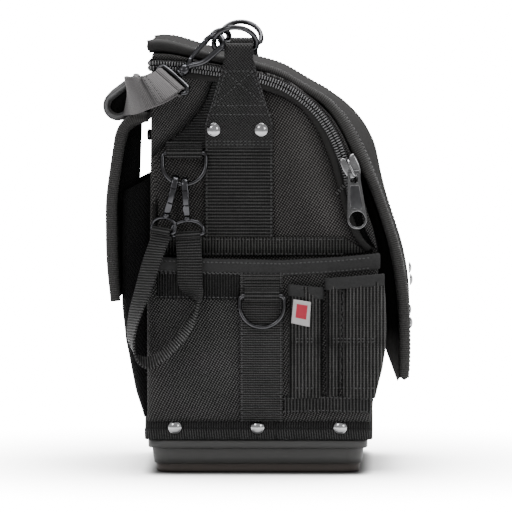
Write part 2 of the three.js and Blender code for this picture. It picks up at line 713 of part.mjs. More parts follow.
// Zip slider: cast body on the chain with a bail, and the pull hanging on the bail
const SLIDER_CENTRE = vec(70.9, -BODY_HALF - GAP, 233.6);
const SLIDER_DOWN = vec(0.4, 0, -0.917).normalize();
const SLIDER_ACROSS = vec(0.917, 0, 0.4).normalize();
const SLIDER_HEIGHT = 3.6;
const SLIDER_OUTLINE = [[-9, -6.2], [-9, 6.2], [1, 6.6], [9, 4.4], [9, -4.4], [1, -6.6]];
const BAIL_WIDTH = 2.4;
const BAIL_OUTLINE = [
  [-7, 3], [-6, 8], [-3.5, 9.8], [5, 10.2], [8.2, 8.4], [8.7, 3],
  [6.9, 3], [6.5, 7.4], [4.6, 8.4], [-2.8, 8.1], [-4.4, 7], [-5, 3],
];
const OUT = Y.clone().negate();
const sliderBody = slab(SLIDER_OUTLINE, SLIDER_DOWN, SLIDER_ACROSS, SLIDER_CENTRE, SLIDER_HEIGHT, 0.8);
const bailSide = SLIDER_CENTRE.clone().addScaledVector(SLIDER_ACROSS, BAIL_WIDTH / 2);
const bail = slab(BAIL_OUTLINE, SLIDER_DOWN, OUT, bailSide, BAIL_WIDTH);
add('zip_slider', joined([sliderBody, bail]), 'gunmetal');

const PULL_THICK = 1.8;
const PULL_OUTLINE = [
  [-4.2, -6], [-4.2, 0.2], [-2.8, 1.4], [4, 1.4], [5.4, 0.2], [5.8, -6],
  ...arc(3.2, -35.8, 7.6, 0, -180, 10),
];
const PULL_SLOT = [[-2.4, -1.2], [-2.4, -6.4], [-1, -8.2], [2.4, -8.2], [3.7, -6.4], [3.7, -1.2]];
const PULL_HOLE = circle(3.2, -35.6, 5.8, 14);
const pullOrigin = vec(PULL_AXIS.x, PULL_AXIS.y + PULL_THICK / 2, PULL_AXIS.z);
add('zip_pull', slab(PULL_OUTLINE, X, Z, pullOrigin, PULL_THICK, 0, [PULL_SLOT, PULL_HOLE]), 'gunmetal');

// Carrying strap: snap hook on the top ring, swivelling eye, webbing and folded grip
const HOOK_AXIS = vec(0.735, 0.2, 0.648).normalize();
const HOOK_REACH = 31;
const HOOK_WIRE = 2.3;
const topLean = THREE.MathUtils.degToRad(TOP_RING.lean);
const ringUp = vec(0, -Math.sin(topLean), Math.cos(topLean));
const ringSide = vec(TOP_RING.x - TOP_RING.half, -TOP_RING.y, TOP_RING.z)
  .addScaledVector(ringUp, TOP_RING.leg);
const hookSide = HOOK_AXIS.clone().cross(ringUp).normalize();
const hookFlat = HOOK_AXIS.clone().cross(hookSide);
const hookRoot = ringSide.clone().addScaledVector(HOOK_AXIS, -HOOK_REACH);

function hookPoint([along, side]) {
  return hookRoot.clone().addScaledVector(HOOK_AXIS, along).addScaledVector(hookSide, side);
}

const BIGHT = 7.3;
const HOOK_SPINE = [
  [1, 0], [6, 0.8], [11, 4.6], [16, 6.9], [23, BIGHT], [29, BIGHT],
  ...arc(HOOK_REACH, 0, BIGHT, 75, -90, 6), [29, -BIGHT],
];
const HOOK_STUB = [[1, 0], [6, -0.8], [9.6, -3.4]];
const HOOK_GATE = [[11.4, -4.3], [27.8, -7.1]];
const HOOK_BARREL = [[0, -5], [3.4, -5], [4.2, -4.2], [4.2, 2.6], [3, 4.4], [0, 4.4]];
const hookBarrel = turned(HOOK_BARREL, hookRoot, HOOK_AXIS, 10);
const hookBody = joined([
  bar(HOOK_SPINE.map(hookPoint), HOOK_WIRE, 22),
  bar(HOOK_STUB.map(hookPoint), HOOK_WIRE, 5),
  hookBarrel,
]);
const hookGate = bar(HOOK_GATE.map(hookPoint), 1.8, 1);

const EYE_BAR = -14;
const EYE_HALF = 18;
const EYE_WIRE = 1.9;
const eyePoints = [
  ...arc(EYE_BAR + 3, EYE_HALF - 3, 3, 180, 90, 2),
  ...[16, 9, 0, -9, -16].map((side) => [-7.3 - 0.8 * (side / EYE_HALF) ** 2, side]),
  ...arc(EYE_BAR + 3, 3 - EYE_HALF, 3, 270, 180, 2),
];
const hookEye = wireLoop(eyePoints.map(hookPoint), hookFlat, EYE_WIRE);
add('strap_hook_near', hookBody, 'gunmetal');
add('strap_gate_near', hookGate, 'gunmetal');
add('strap_eye_near', hookEye, 'gunmetal');
const farLink = bar([hookPoint([-8, 0]), hookPoint([-4, 0])], EYE_WIRE, 1);
const farGate = bar([hookPoint([9, -3.6]), hookPoint([30, -BIGHT])], 1.8, 1);
add('strap_hook_far', mirrored(joined([hookBody, farGate, hookEye, farLink])), 'gunmetal');

const STRAP_WIDTH = 30;
const STRAP_THICK = 2.2;
const GRIP_SLOPE = vec(0.8, 0, 0.6);
const sleeveOuter = EYE_WIRE + GAP + WEB;
const eyeBar = hookPoint([EYE_BAR, 0]);
const strapLeaves = HOOK_AXIS.clone().multiplyScalar(-0.94).addScaledVector(hookFlat, -0.34);
const STRAP_ROWS = [
  { at: eyeBar.clone().addScaledVector(strapLeaves, 3.1), across: hookSide },
  { at: eyeBar.clone().addScaledVector(strapLeaves, 13), across: hookSide },
  { at: vec(-89, -113.5, 289.6), across: vec(-0.05, -0.84, -0.54) },
  { at: vec(-97, -101, 288.6), across: vec(-0.58, -0.5, -0.64) },
  { at: vec(-98.4, -83, 288.5), across: vec(-0.8, -0.1, -0.6) },
  { at: vec(-97.8, -64, 288.4), across: GRIP_SLOPE.clone().negate() },
  { at: vec(-97.8, -30, 288.4), across: GRIP_SLOPE.clone().negate() },
];
const strapFarRows = STRAP_ROWS.map(({ at, across }) => ({
  at: vec(at.x, -at.y, at.z),
  across: vec(across.x, -across.y, across.z),
})).reverse();
const sleeveStart = eyeBar.clone().addScaledVector(hookSide, -STRAP_WIDTH / 2);
const sleeve = slab(circle(0, 0, sleeveOuter, 12), hookFlat, HOOK_AXIS, sleeveStart, STRAP_WIDTH)
  .subtract(slab(
    circle(0, 0, EYE_WIRE + GAP + 0.1, 10),
    hookFlat,
    HOOK_AXIS,
    sleeveStart.clone().addScaledVector(hookSide, -1),
    STRAP_WIDTH + 2,
  ));
const strapBand = ribbon([...STRAP_ROWS, ...strapFarRows], STRAP_WIDTH, STRAP_THICK, 40);
add('strap_web', joined([strapBand, sleeve, mirrored(sleeve)]), 'strap');

// Grip: padding folded round the strap, drawn with its legs along the slope
const gripInner = GRIP.outer - GRIP.wall;
const gripOutline = [
  [GRIP.leg, GRIP.outer], ...arc(0, 0, GRIP.outer, 90, 270, 12), [GRIP.leg, -GRIP.outer],
  [GRIP.leg, -gripInner], ...arc(0, 0, gripInner, 270, 90, 12), [GRIP.leg, gripInner],
].map(([along, side]) => [
  GRIP.x + along * GRIP_SLOPE.x - side * GRIP_SLOPE.z,
  GRIP.z + along * GRIP_SLOPE.z + side * GRIP_SLOPE.x,
]);
add('strap_grip', prism(gripOutline, -GRIP.half, GRIP.half), 'padding');

// Lanyard: two snap hooks on the tab's ring, swivelling eyes and a hanging loop of webbing
const LANYARD_HOOKS = [
  { name: 'left', reach: -7, down: vec(-0.24, -0.13, -0.965), turn: 42 },
  { name: 'right', reach: 0.6, down: vec(0.06, -0.13, -0.99), turn: 0 },
];
const CAST = { bend: 6.8, hollow: 4.2, thick: 5.4, shoulder: 23, foot: 30, wire: 1.4 };
const CAST_EYE = { top: 33.2, shoulder: 40, bar: 44, half: 12, corner: 1.4 };
const WIRE_IN_HOOK = CAST.bend - CAST.hollow + WIRE + 4 * GAP;
const CAST_OUTLINE = [
  [-CAST.bend, 10.6],
  ...arc(0, CAST.bend, CAST.bend, 180, 360, 8),
  [CAST.bend, CAST.shoulder], [3.2, CAST.foot], [-3.2, CAST.foot], [-CAST.bend, CAST.shoulder],
  [-CAST.hollow, CAST.shoulder], [-1.6, 25], [1.6, 25], [CAST.hollow, 22],
  ...arc(0, CAST.bend, CAST.hollow, 360, 180, 7),
  [-CAST.hollow, 10.6],
];
const CAST_BARREL = [[0, 0], [2.9, 0], [2.9, 2.6], [2, 3.4], [0, 3.4]];
const CAST_GATE = [[-6.6, 11.2], [-4.4, 11.2], [-4.4, 22], [-6.6, 22]];
const tabLean = THREE.MathUtils.degToRad(TAB_RING.lean);
const tabDown = vec(0, -Math.sin(tabLean), -Math.cos(tabLean));

const lanyardEnds = LANYARD_HOOKS.map(({ name, reach, down, turn }) => {
  const axis = down.clone().normalize();
  const inward = Y.clone().addScaledVector(axis, -axis.y).normalize();
  const side = inward.clone().cross(axis);
  const fall = TAB_RING.leg + Math.sqrt(TAB_RING.half ** 2 - reach ** 2);
  const top = vec(TAB_RING.x + reach, -TAB_RING.y, TAB_RING.z)
    .addScaledVector(tabDown, fall)
    .addScaledVector(axis, -WIRE_IN_HOOK);
  const plate = (outline, thick, edge) => slab(
    outline,
    inward,
    axis,
    top.clone().addScaledVector(side, -thick / 2),
    thick,
    edge,
  );
  add(`lanyard_hook_${name}`, plate(CAST_OUTLINE, CAST.thick, 0.6), 'gunmetal');
  add(`lanyard_gate_${name}`, plate(CAST_GATE, CAST.thick - 1, 0.3), 'gunmetal');

  const spin = THREE.MathUtils.degToRad(turn);
  const across = side.clone()
    .multiplyScalar(-Math.cos(spin))
    .addScaledVector(inward, -Math.sin(spin));
  const at = (along, wide) => top.clone().addScaledVector(axis, along).addScaledVector(across, wide);
  const { half, corner, shoulder } = CAST_EYE;
  const loop = [
    ...arc(half - corner, CAST_EYE.bar - corner, corner, 90, 0, 2),
    ...arc(0, 0, 1, 0, 180, 8).map(([a, b]) => [a * half, shoulder - b * (shoulder - CAST_EYE.top)]),
    ...arc(corner - half, CAST_EYE.bar - corner, corner, 180, 90, 2),
  ].map(([wide, along]) => at(along, wide));
  const flat = axis.clone().cross(across).normalize();
  const barrel = turned(CAST_BARREL, at(CAST.foot + GAP, 0), axis, 10);
  add(`lanyard_eye_${name}`, joined([wireLoop(loop, flat, CAST.wire), barrel]), 'gunmetal');
  return { name, axis, across, flat, end: at(CAST_EYE.bar, 0) };
});

const LANYARD_WIDTH = 19;
const LANYARD_THICK = 1.6;
const LANYARD_SLEEVE = 3.2;
const LANYARD_ROWS = [
  { at: vec(-51.3, -115, 160.7), across: vec(1, 0, 0) },
  { at: vec(-50.5, -117, 143), across: vec(0.98, -0.2, 0) },
  { at: vec(-52, -119.5, 128), across: vec(0.6, -0.8, 0) },
  { at: vec(-59, -121.8, 108.5), across: vec(0.2, -0.97, -0.1) },
  { at: vec(-71.8, -122.4, 92.3), across: vec(0.05, -0.98, -0.15) },
  { at: vec(-83.2, -122, 85.6), across: vec(0, -0.98, -0.2) },
  { at: vec(-92, -121, 91), across: vec(0.1, -0.98, -0.1) },
  { at: vec(-95.6, -120, 105), across: vec(0.3, -0.95, 0) },
  { at: vec(-92.6, -119, 122), across: vec(0.5, -0.86, 0) },
  { at: vec(-86, -118, 141.7), across: vec(0.68, -0.73, 0) },
  { at: vec(-80, -116.8, 162), across: vec(0.74, -0.67, 0) },
];
const [leftEnd, rightEnd] = lanyardEnds;
const webStart = ({ end, axis, across }) => ({ at: end.clone().addScaledVector(axis, 2.4), across });
const lanyardRows = [webStart(rightEnd), ...LANYARD_ROWS, webStart(leftEnd)];
const lanyardBand = ribbon(lanyardRows, LANYARD_WIDTH, LANYARD_THICK, 34);
const lanyardSleeves = lanyardEnds.map(({ end, axis, across, flat }) => {
  const start = (over) => end.clone().addScaledVector(across, -LANYARD_WIDTH / 2 - over);
  const outer = slab(circle(0, 0, LANYARD_SLEEVE, 12), flat, axis, start(0), LANYARD_WIDTH);
  const inner = slab(circle(0, 0, CAST.wire + GAP, 10), flat, axis, start(1), LANYARD_WIDTH + 2);
  return outer.subtract(inner);
});
add('lanyard_web', joined([lanyardBand, ...lanyardSleeves]), 'webbing');

export default pouch;
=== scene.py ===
import math

import bmesh
import bpy
import numpy as np
from mathutils import Matrix, Vector, noise


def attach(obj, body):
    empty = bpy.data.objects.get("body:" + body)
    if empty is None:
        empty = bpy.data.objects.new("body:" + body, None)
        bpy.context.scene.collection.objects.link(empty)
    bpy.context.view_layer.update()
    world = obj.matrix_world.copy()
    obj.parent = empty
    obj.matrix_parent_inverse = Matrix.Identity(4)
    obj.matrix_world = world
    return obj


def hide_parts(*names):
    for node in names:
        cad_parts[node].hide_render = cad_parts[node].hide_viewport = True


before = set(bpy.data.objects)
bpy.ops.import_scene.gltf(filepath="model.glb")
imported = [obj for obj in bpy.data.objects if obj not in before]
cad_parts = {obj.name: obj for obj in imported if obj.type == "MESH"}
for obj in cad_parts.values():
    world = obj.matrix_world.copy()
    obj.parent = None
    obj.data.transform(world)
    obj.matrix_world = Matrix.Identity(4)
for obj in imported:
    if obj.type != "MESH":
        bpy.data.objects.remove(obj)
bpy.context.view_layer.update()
collection = bpy.context.scene.collection

# Studio: a white floor and wide soft lamps round the pouch, with a long lens that looks at
# its side from a little above. Floor and sky show plain white to the camera alone, and light
# the pouch more softly than that. A contact shadow round the tray's foot is painted into the
# floor's colour.
CAMERA_TURN = math.radians(1.0)
CAMERA_RISE = math.radians(3.1)
CAMERA_AWAY = 5.1
PICTURE_WIDTH = 0.3891
SENSOR = 36
SIGHT_END = 60
AIM = Vector((-0.0011, -0.105, 0.1660))
toward = Vector((
    math.sin(CAMERA_TURN) * math.cos(CAMERA_RISE),
    -math.cos(CAMERA_TURN) * math.cos(CAMERA_RISE),
    math.sin(CAMERA_RISE),
))
camera_data = bpy.data.cameras.new("camera")
camera_data.sensor_width = SENSOR
camera_data.lens = SENSOR * CAMERA_AWAY / PICTURE_WIDTH
camera_data.clip_end = SIGHT_END
camera = bpy.data.objects.new("camera", camera_data)
camera.location = AIM + toward * CAMERA_AWAY
camera.rotation_mode = "QUATERNION"
camera.rotation_quaternion = (-toward).to_track_quat("-Z", "Y")
collection.objects.link(camera)
bpy.context.scene.camera = camera

LAMPS = [
    ("lamp_front_left", (-1.5, -2.2, 1.9), 1.0, 70),
    ("lamp_front_right", (1.9, -2.0, 1.1), 0.8, 40),
    ("lamp_top", (0.1, 0.3, 2.2), 1.6, 330),
    ("lamp_back", (-1.2, 2.0, 1.2), 1.2, 30),
]
LAMP_AIM = Vector((0, 0, 0.15))
for lamp_name, place, size, power in LAMPS:
    lamp_data = bpy.data.lights.new(lamp_name, "AREA")
    lamp_data.size = size
    lamp_data.energy = power
    lamp = bpy.data.objects.new(lamp_name, lamp_data)
    lamp.location = place
    lamp.rotation_mode = "QUATERNION"
    lamp.rotation_quaternion = (LAMP_AIM - lamp.location).to_track_quat("-Z", "Y")
    collection.objects.link(lamp)

SKY_TOP = 1.6
SKY_BACK = 9.0
SKY_FRONT = 1.6
SKY_SEEN = 17.0
SKY_TURN = (-0.1, 0.75)
SKY_LIFT = (0.10, 0.32)
world = bpy.data.worlds.new("studio")
world.use_nodes = True
sky = world.node_tree
sky_place = sky.nodes.new("ShaderNodeTexCoord")
sky_split = sky.nodes.new("ShaderNodeSeparateXYZ")
sky_side = sky.nodes.new("ShaderNodeMapRange")
sky_side.interpolation_type = "SMOOTHSTEP"
sky_side.inputs["From Min"].default_value = SKY_TURN[0]
sky_side.inputs["From Max"].default_value = SKY_TURN[1]
sky_side.inputs["To Min"].default_value = SKY_FRONT
sky_side.inputs["To Max"].default_value = SKY_BACK
sky_rise = sky.nodes.new("ShaderNodeMapRange")
sky_rise.inputs["From Min"].default_value = SKY_LIFT[0]
sky_rise.inputs["From Max"].default_value = SKY_LIFT[1]
sky_rise.inputs["To Max"].default_value = SKY_TOP
sky.links.new(sky_place.outputs["Generated"], sky_split.inputs[0])
sky.links.new(sky_split.outputs["Y"], sky_side.inputs["Value"])
sky.links.new(sky_split.outputs["Z"], sky_rise.inputs["Value"])
sky.links.new(sky_side.outputs["Result"], sky_rise.inputs["To Min"])
sky_ray = sky.nodes.new("ShaderNodeLightPath")
sky_mix = sky.nodes.new("ShaderNodeMix")
sky_mix.inputs["B"].default_value = SKY_SEEN
sky.links.new(sky_ray.outputs["Is Camera Ray"], sky_mix.inputs["Factor"])
sky.links.new(sky_rise.outputs["Result"], sky_mix.inputs["A"])
sky.links.new(sky_mix.outputs["Result"], sky.nodes["Background"].inputs["Strength"])
sky.nodes["Background"].inputs["Color"].default_value = (1, 1, 1, 1)
bpy.context.scene.world = world

FLOOR_RADIUS = 1.3
FLOOR_SIDES = 72
floor_turns = np.linspace(0, 2 * math.pi, FLOOR_SIDES, endpoint=False)
floor_mesh = bpy.data.meshes.new("floor")
floor_mesh.from_pydata(
    [(FLOOR_RADIUS * math.cos(t), FLOOR_RADIUS * math.sin(t), 0) for t in floor_turns],
    [],
    [tuple(range(FLOOR_SIDES))],
)
floor = bpy.data.objects.new("floor", floor_mesh)
floor_look = bpy.data.materials.new("floor_paper")
floor_look.use_nodes = True
floor_tree = floor_look.node_tree
floor_shader = floor_tree.nodes["Principled BSDF"]
floor_shader.inputs["Roughness"].default_value = 0.95
floor_shader.inputs["Specular IOR Level"].default_value = 0.1
floor_place = floor_tree.nodes.new("ShaderNodeTexCoord").outputs["Object"]


def floor_math(kind, operation, *values):
    made = floor_tree.nodes.new(kind)
    made.operation = operation
    for socket, value in zip(made.inputs, values):
        if isinstance(value, bpy.types.NodeSocket):
            floor_tree.links.new(value, socket)
        else:
            socket.default_value = value
    return made.outputs["Value"] if operation == "LENGTH" else made.outputs[0]


def floor_range(value, start, end, low, high):
    made = floor_tree.nodes.new("ShaderNodeMapRange")
    made.interpolation_type = "SMOOTHSTEP"
    floor_tree.links.new(value, made.inputs["Value"])
    made.inputs["From Min"].default_value = start
    made.inputs["From Max"].default_value = end
    made.inputs["To Min"].default_value = low
    made.inputs["To Max"].default_value = high
    return made.outputs["Result"]


FOOT_HALF = (0.073, 0.090, 0.0)
PAINTED_SHADOW_REACH = (5.0, 2.0, 0.0)
PAINTED_SHADOW_WIDE = 0.085
PAINTED_SHADOW_TONES = (0.16, 0.985)
PAINTED_SHADOW_POWER = 2.4
FLOOR_LIT = (0.45, 1.25)
FLOOR_SEEN = (0.12, 0.42)
floor_away = floor_math("ShaderNodeVectorMath", "LENGTH", floor_place)
floor_ray = floor_tree.nodes.new("ShaderNodeLightPath")
floor_mix = floor_tree.nodes.new("ShaderNodeMix")
floor_tree.links.new(floor_ray.outputs["Is Camera Ray"], floor_mix.inputs["Factor"])
floor_tree.links.new(floor_range(floor_away, *FLOOR_LIT, 1, 0), floor_mix.inputs["A"])
floor_tree.links.new(floor_range(floor_away, *FLOOR_SEEN, 1, 0), floor_mix.inputs["B"])
floor_tree.links.new(floor_mix.outputs["Result"], floor_shader.inputs["Alpha"])
# Painted shadow: the floor's colour darkens towards the tray's foot, a contact shadow painted in, reaching
# further in front and behind than at the sides.
floor_off = floor_math("ShaderNodeVectorMath", "ABSOLUTE", floor_place)
floor_off = floor_math("ShaderNodeVectorMath", "SUBTRACT", floor_off, FOOT_HALF)
floor_off = floor_math("ShaderNodeVectorMath", "MAXIMUM", floor_off, (0, 0, 0))
floor_off = floor_math("ShaderNodeVectorMath", "MULTIPLY", floor_off, PAINTED_SHADOW_REACH)
floor_off = floor_math("ShaderNodeVectorMath", "LENGTH", floor_off)
floor_painted_shadow_colour = floor_tree.nodes.new("ShaderNodeCombineColor")
floor_painted_shadow = floor_range(floor_off, 0.0, PAINTED_SHADOW_WIDE, *PAINTED_SHADOW_TONES)
floor_painted_shadow = floor_math("ShaderNodeMath", "POWER", floor_painted_shadow, PAINTED_SHADOW_POWER)
for channel in floor_painted_shadow_colour.inputs:
    floor_tree.links.new(floor_painted_shadow, channel)
floor_tree.links.new(floor_painted_shadow_colour.outputs[0], floor_shader.inputs["Base Color"])
floor_mesh.materials.append(floor_look)
collection.objects.link(floor)

# Base tray: a moulded black plastic foot, an open tray with a stepped lip that the cloth
# body stands in. It is moulded in one piece, with a fine grain and a rubbed, paler foot. Its
# lip is painted darker than its wall as painted shade, against the extra light the lip catches.
MM = 0.001
TRAY_ROWS = [
    (0, 71, 86), (0.35, 71.4, 86.4), (0.4, 76.8, 91.2), (0.8, 77.3, 91.7), (3.2, 77.7, 92), (6.3, 78, 92.2),
    (6.7, 78.3, 92.5), (7.2, 79.3, 93.4), (12, 80, 94.1), (17.9, 80.7, 94.7), (18.4, 81, 95),
    (18.7, 83, 96.9), (19.4, 83.7, 97.5), (24.1, 83.9, 97.6), (24.9, 83.5, 97.2), (25, 83, 96.8),
    (25, 81.4, 95), (18, 76.8, 91), (5, 74.6, 89.2), (4, 73.5, 88),
]
TRAY_CORNER = 12
TRAY_HALF = 81
TRAY_DRAW = 0.2


def placed(name, data):
    piece = bpy.data.objects.new(name, data)
    collection.objects.link(piece)
    return piece


def mended(mesh, reach=0.0):
    """Merges points that are nearer than reach, and turns the faces outwards."""
    form = bmesh.new()
    form.from_mesh(mesh)
    if reach:
        bmesh.ops.remove_doubles(form, verts=form.verts, dist=reach)
    bmesh.ops.recalc_face_normals(form, faces=form.faces)
    form.to_mesh(mesh)
    form.free()


def skin(name, rows, closed=True, ends=True, flat=None):
    """A surface over rows of points in millimetres. Its UV map is in metres, along and
    across, or what flat makes of a point."""
    points = np.asarray(rows, float)
    count, width = points.shape[:2]
    loop = np.concatenate([points, points[:, :1]], axis=1) if closed else points
    across = np.linalg.norm(np.diff(loop, axis=1), axis=2)
    u = np.concatenate([np.zeros((count, 1)), np.cumsum(across, axis=1)], axis=1)
    along = np.linalg.norm(np.diff(loop, axis=0), axis=2).mean(axis=1)
    v = np.concatenate([[0.0], np.cumsum(along)])
    faces = []
    places = []

    def spot(i, j):
        return flat(*loop[i, j]) if flat else (u[i, j], v[i])

    for i in range(count - 1):
        for j in range(loop.shape[1] - 1):
            k = (j + 1) % width
            faces.append((i * width + j, i * width + k, (i + 1) * width + k, (i + 1) * width + j))
            places += [spot(i, j), spot(i, j + 1), spot(i + 1, j + 1), spot(i + 1, j)]
    if ends:
        for i in (0, count - 1):
            faces.append(tuple(i * width + j for j in range(width)))
            places += [spot(i, j) for j in range(width)]
    mesh = bpy.data.meshes.new(name)
    mesh.from_pydata((points.reshape(-1, 3) * MM).tolist(), [], faces)
    layer = mesh.uv_layers.new(name="cloth")
    layer.data.foreach_set("uv", (np.array(places) * MM).ravel())
    mended(mesh)
    mesh.shade_smooth()
    return placed(name, mesh)


def rounded_ring(half_x, half_y, corner, z, steps=10, shift_x=0.0):
    ring = []
    for sign_x, sign_y, start in ((1, 1, 0), (-1, 1, 90), (-1, -1, 180), (1, -1, 270)):
        for i in range(steps + 1):
            turn = math.radians(start + 90 * i / steps)
            ring.append((
                shift_x + sign_x * (half_x - corner) + corner * math.cos(turn),
                sign_y * (half_y - corner) + corner * math.sin(turn),
                z,
            ))
    return ring


def fix(piece, look, slot, *nodes, body="pouch"):
    """Gives a piece its finish, and its place in the frame."""
    piece.data.materials.clear()
    piece.data.materials.append(look)
    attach(piece, body)
    if nodes:
        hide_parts(*nodes)
    return piece


class Looks:
    """A material's node tree, built a node at a time."""

    def __init__(self, name, colour, roughness, metallic=0.0, gloss=0.12):
        self.material = bpy.data.materials.new(name)
        self.material.use_nodes = True
        self.tree = self.material.node_tree
        self.shader = self.tree.nodes["Principled BSDF"]
        self.shader.inputs["Base Color"].default_value = (*colour, 1)
        self.shader.inputs["Roughness"].default_value = roughness
        self.shader.inputs["Metallic"].default_value = metallic
        self.shader.inputs["Specular IOR Level"].default_value = 0.5 if metallic else gloss

    def node(self, kind, **settings):
        made = self.tree.nodes.new(kind)
        for key, value in settings.items():
            setattr(made, key, value)
        return made

    def feed(self, socket, value):
        if isinstance(value, bpy.types.NodeSocket):
            self.tree.links.new(value, socket)
        else:
            socket.default_value = value

    def math(self, operation, *values):
        made = self.node("ShaderNodeMath", operation=operation)
        for socket, value in zip(made.inputs, values):
            self.feed(socket, value)
        return made.outputs[0]

    def place(self, source):
        return self.node("ShaderNodeTexCoord").outputs[source]

    def turned(self, source, degrees):
        mapping = self.node("ShaderNodeMapping")
        self.feed(mapping.inputs["Vector"], source)
        mapping.inputs["Rotation"].default_value = (0, 0, math.radians(degrees))
        return mapping.outputs[0]

    def parts(self, vector):
        split = self.node("ShaderNodeSeparateXYZ")
        self.feed(split.inputs[0], vector)
        return split.outputs

    def noise(self, vector, size, detail=3.0):
        made = self.node("ShaderNodeTexNoise")
        self.feed(made.inputs["Vector"], vector)
        made.inputs["Scale"].default_value = 1 / size
        made.inputs["Detail"].default_value = detail
        return made.outputs["Fac"]

    def wave(self, length, pitch):
        return self.math("SINE", self.math("MULTIPLY", length, 2 * math.pi / pitch))

    def blend(self, share, low, high):
        made = self.node("ShaderNodeMix", data_type="RGBA")
        self.feed(made.inputs["Factor"], share)
        self.feed(made.inputs["A"], low if isinstance(low, bpy.types.NodeSocket) else (*low, 1))
        self.feed(made.inputs["B"], high if isinstance(high, bpy.types.NodeSocket) else (*high, 1))
        return made.outputs["Result"]

    def span(self, value, low, high, start=0.0, end=1.0):
        made = self.node("ShaderNodeMapRange")
        self.feed(made.inputs["Value"], value)
        made.inputs["From Min"].default_value = start
        made.inputs["From Max"].default_value = end
        made.inputs["To Min"].default_value = low
        made.inputs["To Max"].default_value = high
        return made.outputs["Result"]

    def shade_scaled(self, share):
        # The shade attribute holds painted light and shade on most pieces, and a plain step in tone on the
        # base band.
        kept = self.node("ShaderNodeAttribute", attribute_name="shade")
        return self.math("MULTIPLY", share, kept.outputs["Fac"])

    def relief(self, height, depth, strength=1.0):
        made = self.node("ShaderNodeBump")
        made.inputs["Strength"].default_value = strength
        made.inputs["Distance"].default_value = depth
        self.feed(made.inputs["Height"], height)
        self.tree.links.new(made.outputs["Normal"], self.shader.inputs["Normal"])

    def colour(self, source):
        self.tree.links.new(source, self.shader.inputs["Base Color"])

    def rough(self, source):
        self.tree.links.new(source, self.shader.inputs["Roughness"])


TRAY_TONE = (0.0200, 0.0197, 0.0192)
TRAY_LIP_PAINTED_SHADE = (0.0158, 0.0156, 0.0153)
TRAY_RUBBED = (0.0230, 0.0192, 0.0172)
RUB_TOP = 0.0085
RUB_FULL = 0.0045
LIP_STEP = (0.0182, 0.0190)
tray_looks = Looks("tray_plastic", TRAY_TONE, 0.55)
tray_place = tray_looks.place("Object")
tray_height = tray_looks.parts(tray_place)[2]
tray_worn = tray_looks.node("ShaderNodeMapRange", interpolation_type="SMOOTHSTEP")
tray_looks.feed(tray_worn.inputs["Value"], tray_height)
tray_worn.inputs["From Min"].default_value = RUB_TOP
tray_worn.inputs["From Max"].default_value = RUB_FULL
tray_mottle = tray_looks.noise(tray_place, 0.02)
tray_rub = tray_looks.math("MULTIPLY", tray_worn.outputs["Result"], tray_looks.span(tray_mottle, 0.7, 1.1))
# Painted shade: the lip is painted darker than the wall, against the extra light it catches.
tray_lip_painted_shade = tray_looks.span(tray_height, 0.0, 1.0, *LIP_STEP)
tray_wall = tray_looks.blend(tray_rub, TRAY_TONE, TRAY_RUBBED)
tray_looks.colour(tray_looks.blend(tray_lip_painted_shade, tray_wall, TRAY_LIP_PAINTED_SHADE))
tray_looks.rough(tray_looks.span(tray_mottle, 0.48, 0.62))
tray_looks.relief(tray_looks.noise(tray_place, 0.0009), 0.00012, 0.5)
tray_rows = []
for z, half_x, half_y in TRAY_ROWS:
    corner = TRAY_CORNER - (TRAY_HALF - min(half_x, TRAY_HALF)) * TRAY_DRAW
    tray_rows.append(rounded_ring(half_x, half_y, corner, z))
tray = skin("base_tray_moulded", tray_rows)
fix(tray, tray_looks.material, "plastic", "base_tray")

# Body: four walls of heavy woven nylon, cut as one run of cloth and open at the top below
# the zip. The side walls follow the zip's curve, the front wall swells a little.
ZIP_PATH = [
    (-81, 310.6), (-60, 309.5), (-30, 305.6), (3.4, 300), (24.7, 291.5), (43.7, 276.5), (57.4, 257),
    (66.5, 234.4), (72.5, 210),
]
FACING_PATH = [
    (-60, 304.2), (-30, 299.8), (3.4, 294.6), (24.7, 286.8), (36.1, 278.3), (43.7, 268.7), (50.4, 257),
    (57, 241), (61.5, 226), (66, 208), (71.5, 190), (78.5, 177), (85, 170),
]
ZIP_HALF = 4.3
WALL_Y = 97.3
WALL_CORNER = 4
FRONT_FOOT = (85.2, 25.3)
FRONT_TOP = (91, 172)
BACK_FOOT = (-83.8, 25.3)
BODY_CLOTH = 2.0
END_HALF = 88
END_STEPS = 20
CORNER_STEPS = 6
FRONT_SWELL = 3.0
TOP_TUCK = 2.2
RIDGE_HEIGHT = 1.3
RIDGE_WIDE = 9
CLOTH_GLOSS = 0.03


def smooth(points, count):
    """A curve through the points, as count points at even distances."""
    points = np.asarray(points, float)
    padded = np.vstack([2 * points[0] - points[1], points, 2 * points[-1] - points[-2]])
    fine = []
    for a, b, c, d in zip(padded, padded[1:], padded[2:], padded[3:]):
        for t in np.linspace(0, 1, 24, endpoint=False):
            bend = (2 * a - 5 * b + 4 * c - d) * t**2 + (3 * b - a - 3 * c + d) * t**3
            fine.append(0.5 * (2 * b + (c - a) * t + bend))
    fine.append(points[-1])
    fine = np.array(fine)
    steps = np.linalg.norm(np.diff(fine, axis=0), axis=1)
    length = np.concatenate([[0], np.cumsum(steps)])
    wanted = np.linspace(0, length[-1], count)
    return np.stack([np.interp(wanted, length, fine[:, k]) for k in range(fine.shape[1])], axis=1)


def beside(path, distance):
    """A flat path moved sideways, to the right of its direction."""
    path = np.asarray(path, float)
    ahead = np.gradient(path, axis=0)
    ahead /= np.linalg.norm(ahead, axis=1)[:, None]
    return path + np.stack([ahead[:, 1], -ahead[:, 0]], axis=1) * distance


